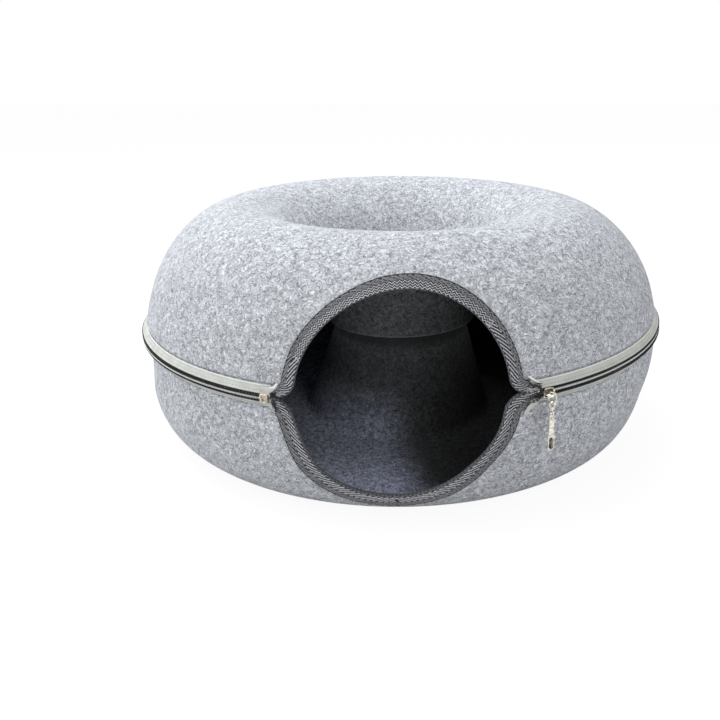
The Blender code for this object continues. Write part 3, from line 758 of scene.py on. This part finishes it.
def end_lift(side, along):
    """The upper binding's +X end climbs over the end of the zip."""
    return END_CLIMB * eased((-along - END_START) / END_RUN) if side > 0 else 0.0


def across_binding(side, along, share):
    """A point across the folded tape: outer leg, fold and inner leg, for a share from 0 to 3."""
    edge = EDGES[side]
    lift = BINDING_LIFT + end_lift(side, along)
    if share < 1.0:
        return on_wall(side, *edge.place(along, edge.width_at(along) * (1.0 - share)), lift)
    if share > 2.0:
        inset = edge.width_at(along) * (share - 2.0)
        return on_wall(side, *edge.place(along, inset), inner_lift(inset))
    turn = (share - 1.0) * math.pi
    outer = on_wall(side, *edge.place(along, 0.0), lift)
    inner = on_wall(side, *edge.place(along, 0.0), inner_lift(0.0))
    past = Vector(edge.place(along, -BINDING_FOLD)) - Vector(edge.place(along, 0.0))
    bulge = Vector((past.x, 0.0, side * past.y)) * math.sin(turn) ** 0.5
    return outer.lerp(inner, (1.0 - math.cos(turn)) / 2) + bulge


def binding(side):
    """The woven tape folded over one half's cut edge."""
    rows = 3 * LEG_STEPS
    bpy.ops.mesh.primitive_grid_add(x_subdivisions=BINDING_STEPS, y_subdivisions=rows, size=1.0)
    tape = active_piece("binding_" + SIDE_NAMES[side])
    edge = EDGES[side]
    where = {}
    for vertex in tape.data.vertices:
        column = round((vertex.co.x + 0.5) * BINDING_STEPS)
        share = round((vertex.co.y + 0.5) * rows) / LEG_STEPS
        along = -edge.tails[0] + (edge.length + sum(edge.tails)) * column / BINDING_STEPS
        where[vertex.index] = (along, share)
        vertex.co = across_binding(side, along, share)
    for loop in tape.data.loops:
        tape.data.uv_layers.active.data[loop.index].uv = where[loop.vertex_index]
    cleaned(tape)
    applied(tape, 'SOLIDIFY', thickness=BINDING_THICKNESS, offset=0.0)
    finished(tape, side, [BINDING], ["entrance_binding_" + SIDE_NAMES[side]])


def tube(name, lines, radius, sides=1, closed=False):
    """Round thread or wire along one or more lines of points."""
    bpy.ops.curve.primitive_bezier_curve_add()
    holder = bpy.context.active_object
    curve = holder.data
    curve.splines.clear()
    curve.bevel_depth = radius
    curve.bevel_resolution = sides
    curve.use_fill_caps = True
    for points in lines:
        spline = curve.splines.new('POLY')
        spline.points.add(len(points) - 1)
        spline.use_cyclic_u = closed
        for point, place in zip(spline.points, points):
            point.co = (*place, 1.0)
    holder.location = (0.0, 0.0, 0.0)
    bpy.ops.object.convert(target='MESH')
    return cleaned(active_piece(name))


ZIGZAG_PERIOD = 0.0036
ZIGZAG_SWING = 0.0007
ZIGZAG_ROWS = (0.001, 0.0027, 0.0044)
ZIGZAG_OUTER_ROWS = (0.006, 0.0075)
ZIGZAG_WHOLE = (0.23, 0.87)
ZIGZAG_OVERLAP = 0.003
DASH_PERIOD = 0.0043
DASH_LENGTH = 0.0037
DASH_SWING = 0.0008
DASH_SHIFT = 0.86
DASH_ROWS = {1: (0.0011, 0.0028, 0.0045), -1: (0.0011, 0.0029, 0.0047)}
DASH_OUTER_ROWS = {1: (0.0062, 0.0077), -1: (0.0065, 0.0083, 0.0099)}
BINDING_THREAD_RADIUS = 0.00042


def on_binding(side, along, inset):
    """A place for a thread on the binding's outer leg."""
    lift = SEAT_GAP + BINDING_THICKNESS + BINDING_THREAD_RADIUS / 2 + end_lift(side, along)
    return on_wall(side, *EDGES[side].place(along, inset), lift)


def zigzag_rows(side, rows):
    """Sawtooth rows of stitching along the middle of the entrance's edge."""
    first, last = (int(EDGES[side].length * share / (ZIGZAG_PERIOD / 2)) for share in ZIGZAG_WHOLE)
    return [[on_binding(side, i * ZIGZAG_PERIOD / 2, row + (ZIGZAG_SWING if i % 2 else -ZIGZAG_SWING))
             for i in range(first, last)] for row in rows]


def dash_rows(side, rows):
    """Rows of slanting stitches, mirrored at the middle; on the upper half only beside the zigzag."""
    edge = EDGES[side]
    count = int((edge.length + sum(edge.tails) / 2) / DASH_PERIOD)
    first, last = (edge.length * share for share in ZIGZAG_WHOLE)
    lines = []
    for n, row in enumerate(rows):
        for i in range(count):
            mirror = 1 if i < count / 2 else -1
            along = -edge.tails[0] / 2 + (i - mirror * n * DASH_SHIFT % 1.0) * DASH_PERIOD
            if side > 0 and first + ZIGZAG_OVERLAP < along + DASH_LENGTH / 2 < last - ZIGZAG_OVERLAP:
                continue
            narrow = edge.width_at(along) / edge.width
            lean = mirror * DASH_SWING
            ends = ((along, (row + lean) * narrow), (along + DASH_LENGTH, (row - lean) * narrow))
            lines.append([on_binding(side, *end) for end in ends])
    return lines


def binding_thread(side):
    """The stitching of the binding: pale rows along its inner part, darker ones outside them."""
    name = SIDE_NAMES[side]
    for part, zigzags, dashes, material, nodes in (
            ("rows", ZIGZAG_ROWS, DASH_ROWS, BINDING_THREAD, ["binding_thread_" + name]),
            ("outer", ZIGZAG_OUTER_ROWS, DASH_OUTER_ROWS, BINDING_THREAD_DARK, [])):
        lines = (zigzag_rows(side, zigzags) if side > 0 else []) + dash_rows(side, dashes[side])
        thread = tube(f"binding_thread_{part}_{name}", lines, BINDING_THREAD_RADIUS, 0)
        finished(thread, side, [material], nodes)


# The zip

BEAD_PLACES = (0.7, 0.5, 0.0, -0.3, -0.4)
BEAD_LIFTS = ((3, 0.8), (4, 1.0), (5, 0.8))


def zip_tape(side):
    """Tape that lies on the felt and steps out to the coil, with a bead along its step."""
    reach = TAPE_REACH[side]
    far = wall_radius(side, reach) + SEAT_GAP
    step = wall_radius(side, TAPE_STEP_END) + SEAT_GAP
    bead = [TAPE_STEP_START + TAPE_BEAD * share for share in BEAD_PLACES]
    low = [(far, reach), (step, TAPE_STEP_END), (TAPE_RADIUS, bead[0])]
    low += [(TAPE_RADIUS, height) for height in bead[1:]] + [(TAPE_RADIUS, TAPE_INNER_EDGE)]
    edge = [(far + TAPE_THICKNESS * 0.5, reach + TAPE_THICKNESS * 0.25)]
    high = [(radius + TAPE_THICKNESS, height) for radius, height in low]
    for i, share in BEAD_LIFTS:
        high[i] = (high[i][0] + TAPE_BEAD * share, high[i][1])
    section = [(radius, side * height) for radius, height in edge + high + list(reversed(low))]
    turn = math.tau - 2 * TAPE_END_ANGLE
    tape = spun("tape_" + SIDE_NAMES[side], section, TAPE_END_ANGLE, turn, closed=True)
    capped(tape)
    finished(tape, side, [TAPE], ["zip_tape_" + SIDE_NAMES[side]])


def capped(piece):
    """Fills the open ends of a spun piece."""
    select_only(piece)
    edit('EDIT')
    bpy.ops.mesh.select_mode(type='EDGE')
    bpy.ops.mesh.select_all(action='DESELECT')
    bpy.ops.mesh.select_non_manifold(extend=False)
    bpy.ops.mesh.edge_face_add()
    bpy.ops.mesh.select_mode(type='VERT')
    edit('OBJECT')
    cleaned(piece)


COIL_PITCH = 0.00137
COIL_HEAD = -0.0005
COIL_BACK = 0.003
COIL_WIRE = 0.00036
COIL_SINK = 0.0005
COIL_START = {1: 1.5, -1: 2.0}


def zip_coil(side):
    """One coil: a flattened loop of wire, repeated along the zip."""
    low = COIL_RADIUS + COIL_WIRE
    high = ZIP_RADIUS - COIL_WIRE - COIL_SINK
    middle = (low + high) / 2
    near, far = COIL_HEAD + 2 * COIL_WIRE, COIL_BACK - COIL_WIRE
    loop = [(high, far), (high, near), (middle, COIL_HEAD + COIL_WIRE)]
    loop += [(low, near), (low, far), (middle, COIL_BACK)]
    start = TAPE_END_ANGLE + COIL_START[side] * COIL_PITCH / COIL_RADIUS
    slip = COIL_PITCH / COIL_RADIUS / len(loop) / 2
    points = [around_ring(r, side * h, start + slip * i) for i, (r, h) in enumerate(loop)]
    coil = tube("coil_" + SIDE_NAMES[side], [points], COIL_WIRE, 0, closed=True)
    turn = math.tau - COIL_LEFT_ANGLE - start
    swept(coil, turn, int(turn * COIL_RADIUS / COIL_PITCH) - 1, copies=True)
    finished(coil, side, [COIL], ["zip_coil_" + SIDE_NAMES[side]])


STITCH_PITCH = 0.0032
STITCH_LENGTH = 0.0023
STITCH_RADIUS = 0.00038
STITCH_DIPS = ((-1.0, -0.4), (-0.6, 0.5), (0.6, 0.5), (1.0, -0.4))


def zip_thread(side):
    """The row of stitches that holds a tape to the felt."""
    height = STITCH_HEIGHT[side]
    sewn = wall_radius(side, TAPE_STEP_END) + SEAT_GAP
    share = (height - TAPE_STEP_START) / (TAPE_STEP_END - TAPE_STEP_START)
    radius = TAPE_RADIUS + (sewn - TAPE_RADIUS) * share + TAPE_THICKNESS
    half = STITCH_LENGTH / 2 / radius
    start = TAPE_END_ANGLE + 2 * half
    points = [around_ring(radius + dip * STITCH_RADIUS, side * height, start + half * place)
              for place, dip in STITCH_DIPS]
    row = tube("stitches_" + SIDE_NAMES[side], [points], STITCH_RADIUS, 0)
    turn = math.tau - 2 * start
    swept(row, turn, int(turn * radius / STITCH_PITCH), copies=True)
    finished(row, side, [TAPE_THREAD], ["zip_thread_" + SIDE_NAMES[side]])


# Ends of the zip

TENTH = 0.0001
RIBBON_BOW = 0.0004


def ribbon(name, side, pairs):
    """Loose tape; each pair gives across, height and lift of its two edges, in tenths of a mm."""
    bpy.ops.mesh.primitive_grid_add(x_subdivisions=len(pairs) - 1, y_subdivisions=2, size=1.0)
    strip = active_piece(name)
    for vertex in strip.data.vertices:
        first, last = pairs[round((vertex.co.x + 0.5) * (len(pairs) - 1))]
        share = vertex.co.y + 0.5
        across, height, lift = ((a + (b - a) * share) * TENTH for a, b in zip(first, last))
        vertex.co = on_wall(side, across, height, lift + RIBBON_BOW * math.sin(math.pi * share))
    cleaned(strip)
    applied(strip, 'SUBSURF', levels=2, render_levels=2)
    applied(strip, 'SOLIDIFY', thickness=TAPE_THICKNESS, offset=0.0)
    finished(strip, side, [TAPE])


RIBBONS = {
    ("tape_fold_left", 1): (
        ((-1046, 80, 31), (-1040, 46, 34)),
        ((-1004, 84, 33), (-1002, 44, 36)),
        ((-972, 82, 34), (-968, 42, 36)),
        ((-946, 92, 26), (-940, 56, 30)),
        ((-924, 108, 20), (-918, 86, 22)),
        ((-902, 126, 18), (-897, 116, 18))),
    ("tape_end_left", -1): (
        ((-984, 48, 30), (-964, 46, 28)),
        ((-978, 74, 24), (-962, 72, 22)),
        ((-972, 98, 8), (-958, 96, 6))),
    ("tape_fold_right", 1): (
        ((940, 142, 12), (937, 136, 12)),
        ((966, 126, 18), (962, 117, 20)),
        ((996, 106, 28), (991, 96, 30)),
        ((1028, 86, 38), (1022, 76, 40)),
        ((1062, 66, 42), (1056, 57, 44))),
    ("tape_end_right", -1): (
        ((1046, 52, 34), (1020, 40, 34)),
        ((1006, 80, 26), (980, 62, 26)),
        ((966, 110, 14), (940, 92, 14)),
        ((936, 142, 8), (911, 126, 8)),
        ((914, 176, 7), (894, 162, 7))),
}
THREAD_RADIUS = 0.00026
THREAD_BOW = 0.0012
THREAD_LIFT = 0.0008


def loose_threads(name, side, count, low, high, seed, material):
    """Cut ends of thread, tangled between two corners: across, height and lift, in tenths of a mm."""
    draw = random.Random(seed)
    lines = []
    for _ in range(count):
        start, end = ([draw.uniform(a * TENTH, b * TENTH) for a, b in zip(low, high)] for _ in range(2))
        bow = [draw.uniform(-THREAD_BOW, THREAD_BOW) for _ in range(3)]
        line = []
        for share in spread(0.0, 1.0, 8):
            across, height, lift = (a + (b - a) * share + c * math.sin(math.pi * share)
                                    for a, b, c in zip(start, end, bow))
            line.append(on_wall(side, across, max(0.0, height), max(THREAD_LIFT, lift)))
        lines.append(line)
    tangle = tube(name, lines, THREAD_RADIUS, 0)
    finished(tangle, side, [material])


def outlined(name, loops, depth, radius, bevel):
    """A flat piece at the front: loops of across and height, filled, thickened and bevelled."""
    joined(*[drawn(name, [at_front(x, radius, z) for x, z in loop], closed=True) for loop in loops])
    piece = active_piece(name)
    opened(piece)
    bpy.ops.mesh.fill(use_beauty=True)
    bpy.ops.mesh.extrude_region_move(TRANSFORM_OT_translate={"value": (0.0, -depth, 0.0)})
    edit('OBJECT')
    cleaned(piece)
    return applied(piece, 'BEVEL', width=bevel, segments=2, limit_method='ANGLE',
                   angle_limit=math.radians(50.0))


def sunk(piece, inset, depth, floor=None):
    """Pushes a piece's front face in behind a rim, with its own finish inside."""
    select_only(piece)
    edit('EDIT')
    shape = bmesh.from_edit_mesh(piece.data)
    shape.select_mode = {'VERT'}
    front = min(vertex.co.y for vertex in shape.verts)
    for vertex in shape.verts:
        vertex.select_set(vertex.co.y < front + MERGE_DISTANCE)
    shape.select_flush_mode()
    bmesh.update_edit_mesh(piece.data)
    bpy.ops.mesh.select_mode(type='FACE')
    bpy.ops.mesh.inset(thickness=inset, depth=0.0)
    bpy.ops.transform.translate(value=(0.0, depth, 0.0))
    if floor:
        given((METAL, floor), piece)
        piece.active_material_index = 1
        bpy.ops.object.material_slot_assign()
    bpy.ops.mesh.select_mode(type='VERT')
    edit('OBJECT')


STOP_DEPTH = 0.0026
CLAW_DEPTH = 0.0031
STOP_OUTLINE = ((-0.0036, -0.0036), (0.0036, -0.0031), (0.0036, 0.0036), (-0.003, 0.0036))
CLAW_OUTLINE = ((-0.0011, -0.0004), (0.0011, -0.0004), (0.0008, 0.0007), (-0.0008, 0.0007))
CLAW_PLACES = ((-0.0019, 0.0008), (0.0018, 0.0011), (-0.001, -0.0016), (0.0021, -0.0018))


def bottom_stop():
    """The stamped clamp round both tapes: a plate with a sunk middle and four folded claws."""
    clamp = outlined("bottom_clamp", [STOP_OUTLINE], STOP_DEPTH, COIL_RADIUS, 0.0006)
    sunk(clamp, 0.0011, 0.0007)
    loops = [[(x + across, z + height) for across, height in CLAW_OUTLINE] for x, z in CLAW_PLACES]
    joined(clamp, *[outlined("claw", [loop], CLAW_DEPTH, COIL_RADIUS, 0.0003) for loop in loops])
    turned(clamp, BOTTOM_STOP_ANGLE)
    finished(clamp, -1, [STOP_METAL], ["bottom_stop"], 35.0)


def top_stop(side):
    """A small blackened clamp on the end of one coil."""
    name = SIDE_NAMES[side]
    low, high, half = side * 0.0007, side * 0.0031, TOP_STOP_LENGTH / 2
    outline = [(-half, low), (half, low), (half, high), (-half, high)]
    stop = outlined("top_clamp_" + name, [outline], STOP_DEPTH, COIL_RADIUS, 0.0005)
    turned(stop, -TOP_STOP_ANGLE)
    finished(stop, side, [STOP_BLACK], ["top_stop_" + name], 35.0)


# The slider, the link and the puller, modelled at the front and carried to their place

SLIDER_SQUARENESS = 0.62
SLIDER_NARROWING = 0.16
POST_OUTLINE = ((-0.0046, -0.0006), (-0.0017, -0.0006), (-0.0017, 0.0006), (-0.0046, 0.0006))
BRIDGE_REACH = 0.0037
BRIDGE_BEND = 0.0018
BRIDGE_WIRE = 0.00065


def squared(value, power):
    """A sine or cosine raised to a power, with its sign kept; less than 1 squares a circle off."""
    return math.copysign(abs(value) ** power, value)


def slider_outline():
    """A rounded plate that narrows towards the closed zip."""
    points = []
    for turn in spread(0.0, math.tau, 40)[:-1]:
        across = SLIDER_LENGTH / 2 * squared(math.cos(turn), SLIDER_SQUARENESS)
        height = SLIDER_HEIGHT / 2 * squared(math.sin(turn), SLIDER_SQUARENESS)
        points.append((across, height * (1.0 - SLIDER_NARROWING * across / SLIDER_LENGTH)))
    return points


def slider():
    """Two plates and the post between them, with a raised rim and a thick bridge."""
    front = outlined("slider_body", [slider_outline()], SLIDER_PLATE, PLATE_OUTER_LOW, 0.0003)
    # The sunk middle takes the dark metal: painted shade under the bridge.
    sunk(front, 0.0011, 0.0009, METAL_PAINTED_SHADE)
    back = outlined("slider_back", [slider_outline()], SLIDER_PLATE,
                    TAPE_RADIUS - RUN_GAP - SLIDER_PLATE, 0.0004)
    post = outlined("slider_post", [POST_OUTLINE], PLATE_OUTER_LOW - TAPE_RADIUS + 2 * RUN_GAP,
                    TAPE_RADIUS - 2 * RUN_GAP, 0.0002)
    foot = PLATE_OUTER_LOW + SLIDER_PLATE / 2
    middle, reach = BRIDGE_RADIUS - BRIDGE_BEND, BRIDGE_REACH - BRIDGE_BEND
    path = [(-BRIDGE_REACH, foot)] + arc((-reach, middle), BRIDGE_BEND, math.pi, math.pi / 2, 6)
    path += arc((reach, middle), BRIDGE_BEND, math.pi / 2, 0.0, 6) + [(BRIDGE_REACH, foot)]
    bridge = tube("slider_bridge", [[at_front(x, out, 0.0) for x, out in path]], BRIDGE_WIRE, 2)
    given([METAL], back, post, bridge)
    joined(front, back, post, bridge)
    finished(front, "slider", [], ["zip_slider"], 40.0)


LINK_WIDTH = 0.0072
LINK_WIRE = 0.00055
LINK_TOP = 0.00175
LINK_BOTTOM = -0.00715
LINK_TURN = math.radians(-60.0)
LINK_SQUARENESS = 0.8
LINK_NARROWING = 0.1


def link():
    """The oval wire link, a little narrower at the puller's end."""
    middle = (LINK_TOP + LINK_BOTTOM) / 2
    points = []
    for turn in spread(0.0, math.tau, 48)[:-1]:
        height = (LINK_TOP - LINK_BOTTOM) / 2 * math.sin(turn)
        narrow = 1.0 + LINK_NARROWING * math.sin(turn)
        across = (LINK_WIDTH / 2 - LINK_WIRE) * narrow * squared(math.cos(turn), LINK_SQUARENESS)
        out = BRIDGE_RADIUS - across * math.sin(LINK_TURN)
        points.append(at_front(across * math.cos(LINK_TURN), out, height + middle))
    ring = tube("puller_link", [points], LINK_WIRE, 2, closed=True)
    finished(ring, "link", [METAL], ["pull_link"], 60.0)


PULLER_TOP = 0.0031
PULLER_LENGTH = 0.0408
PULLER_THICKNESS = 0.0014
EYE_RADIUS = 0.0018
EYE_HEIGHT = -0.0078
PULLER_NECK = ((0.0019, -0.0044), (0.0019, -0.0066), (0.0015, -0.0074), (0.0015, -0.0082))
# Places of the dark discs of painted shade on the puller's neck.
PULLER_SHADE_DISCS = ((-0.0012, -0.005), (0.0012, -0.0048), (0.0, -0.0079),
               (-0.0011, -0.0104), (0.0011, -0.0101))
SHADE_DISC_RADIUS = 0.00055
BEAD_RADIUS = 0.00032
BEAD_HALF = 0.0024
EYE_BEAD = 0.0025


def oval(across, low, high, half, steps=8):
    """A closed upright slot outline with round ends."""
    top = arc((across, high - half), half, 0.0, math.pi, steps)
    return top + arc((across, low + half), half, math.pi, math.tau, steps)


def puller():
    """The flat puller: eye, pierced neck, mottled stick, and a paddle with a bead round its slot."""
    tip = PULLER_TOP - PULLER_LENGTH
    stick, paddle, shoulder = 0.0021, 0.0028, tip + 0.014
    right = arc((0.0, 0.0), PULLER_TOP, math.pi / 2, -0.95, 14) + [*PULLER_NECK, (stick, -0.009)]
    right += [(stick, shoulder + 0.0022), (0.0026, shoulder + 0.0006), (paddle, shoulder - 0.0022)]
    right += arc((0.0, tip + paddle), paddle, 0.0, -math.pi / 2, 6)
    left = [(-across, height) for across, height in reversed(right[1:-1])]
    eye = arc((0.0, 0.0), EYE_RADIUS, 0.0, math.tau, 24)[:-1]
    slot = oval(0.0, tip + 0.0012, tip + 0.011, 0.0019)
    dash = [(height, across - 0.0058) for across, height in oval(0.0, -0.001, 0.001, 0.0003, 4)]
    lift = [[(x, z + EYE_HEIGHT) for x, z in loop] for loop in (right + left, eye, slot, dash)]
    rear, front = BRIDGE_RADIUS - PULLER_THICKNESS / 2, BRIDGE_RADIUS + PULLER_THICKNESS / 2
    body = outlined("puller_plate", lift, PULLER_THICKNESS, rear, 0.0003)
    # A dark plate inside the slot: painted shade where the slot shows only shade.
    slot_shade = [(x, z + EYE_HEIGHT) for x, z in oval(0.0, tip + 0.0018, tip + 0.0114, 0.0013)]
    slot_shade = outlined("puller_slot_shade", [slot_shade], 0.0005, BRIDGE_RADIUS - 0.0005, 0.00015)
    bead = [(BEAD_HALF, tip + 0.0034), (BEAD_HALF, tip + 0.012)]
    bead += arc((0.0, tip + 0.012), BEAD_HALF, 0.0, math.pi, 10)[1:] + [(-BEAD_HALF, tip + 0.0034)]
    rims = [bead, arc((0.0, 0.0), EYE_BEAD, -0.6, math.pi + 0.6, 18)]
    rims = [[at_front(x, front, z + EYE_HEIGHT) for x, z in rim] for rim in rims]
    beads = tube("puller_beads", rims, BEAD_RADIUS)
    # Dark discs standing proud on the neck: painted shade.
    shade_discs = [arc((x, z + EYE_HEIGHT), SHADE_DISC_RADIUS, 0.0, math.tau, 10)[:-1] for x, z in PULLER_SHADE_DISCS]
    shade_discs = [outlined("puller_shade_disc", [disc], 0.0003, front - 0.0002, 0.0001) for disc in shade_discs]
    given([METAL_PAINTED_SHADE], slot_shade, *shade_discs)
    given([METAL], body, beads)
    joined(body, slot_shade, beads, *shade_discs)
    finished(body, "pull_tab", [], ["puller"], 40.0)


BLACK_THREAD = thread_finish("thread_black", (0.006, 0.006, 0.007), (0.03, 0.028, 0.03))

for side in (1, -1):
    for make in (felt_half, binding, binding_thread, zip_tape, zip_coil, zip_thread, top_stop):
        make(side)
bottom_stop()
for (name, side), pairs in RIBBONS.items():
    ribbon(name, side, pairs)
loose_threads("loose_threads_right", 1, 44, (960, 0, 46), (1048, 84, 78), 4, BLACK_THREAD)
loose_threads("loose_threads_low_right", -1, 26, (955, 0, 40), (1048, 56, 76), 9, BLACK_THREAD)
loose_threads("frayed_end_right", 1, 9, (925, 22, 66), (1015, 66, 80), 5, BINDING_THREAD)
loose_threads("loose_threads_left", 1, 7, (-962, 0, 14), (-925, 46, 30), 2, BLACK_THREAD)
loose_threads("loose_threads_low_left", -1, 14, (-956, 0, 16), (-922, 110, 28), 6, BLACK_THREAD)
slider()
link()
puller()


# Stage, light and camera

FLOOR_SHADOW = 0.12
FLOOR_GLOW = 1.05


def stage_floor():
    """A pale floor that the camera sees almost white, with the object's soft shadow."""
    bpy.ops.mesh.primitive_plane_add(size=12.0, location=(0.0, 0.0, 0.0))
    floor = active_piece("stage_floor")
    pale = Finish("stage_pale", roughness=0.9)
    pale.surface(Base_Color=(0.7, 0.7, 0.71))
    rays = pale.nodes.new("ShaderNodeLightPath").outputs
    seen = Value(pale, rays["Is Camera Ray"]) + Value(pale, rays["Is Glossy Ray"])
    seen = (seen + Value(pale, rays["Is Transmission Ray"])).smaller(1.0)
    glow = pale.node("ShaderNodeEmission", {}, {"Color": (1.0, 1.0, 1.0), "Strength": FLOOR_GLOW})
    lit = Value(pale, pale.shader.outputs[0])
    both = pale.node("ShaderNodeMixShader", {}, {0: seen * (1.0 - FLOOR_SHADOW), 1: lit, 2: glow})
    pale.links.new(both.socket, pale.nodes["Material Output"].inputs["Surface"])
    given([pale.material], floor)


def stage_world():
    """Soft even light from all round, which the camera sees as white."""
    world = bpy.data.worlds.new("stage_world")
    bpy.context.scene.world = world
    world.use_nodes = True
    nodes, links = world.node_tree.nodes, world.node_tree.links
    light = nodes["Background"]
    light.inputs["Color"].default_value = (0.97, 0.98, 1.0, 1.0)
    light.inputs["Strength"].default_value = 0.74
    white = nodes.new("ShaderNodeBackground")
    white.inputs["Color"].default_value = (1.0, 1.0, 1.0, 1.0)
    rays = nodes.new("ShaderNodeLightPath")
    mixed = nodes.new("ShaderNodeMixShader")
    links.new(rays.outputs["Is Camera Ray"], mixed.inputs[0])
    links.new(light.outputs[0], mixed.inputs[1])
    links.new(white.outputs[0], mixed.inputs[2])
    links.new(mixed.outputs[0], nodes["World Output"].inputs["Surface"])


def softbox(name, place, size, power, colour=(1.0, 1.0, 1.0)):
    """A square lamp that looks at the ring's centre."""
    bpy.ops.object.light_add(type='AREA', location=place)
    lamp = bpy.context.active_object
    lamp.name = name
    lamp.data.shape = 'SQUARE'
    lamp.data.size = size
    lamp.data.energy = power
    lamp.data.color = colour
    lamp.rotation_euler = (RING_CENTRE - Vector(place)).to_track_quat('-Z', 'Y').to_euler()


def stage_camera():
    """The photograph's view: level sides, looking down on the ring."""
    turn = (math.radians(72.75), 0.0, 0.0)
    bpy.ops.object.camera_add(location=(0.0, -0.77702, 0.34481), rotation=turn)
    camera = bpy.context.active_object
    camera.data.sensor_width = 36.0
    camera.data.lens = 39.9
    camera.data.shift_x = -0.056
    camera.data.shift_y = -0.0739
    bpy.context.scene.camera = camera


stage_floor()
stage_world()
softbox("lamp_above", (-0.45, 0.45, 1.55), 1.5, 36.0, (0.93, 0.96, 1.0))
softbox("lamp_left", (-1.5, -0.35, 0.75), 1.2, 12.0)
softbox("lamp_right", (0.95, -1.45, 0.85), 0.9, 7.5)
stage_camera()
bpy.context.scene.view_settings.view_transform = 'Standard'
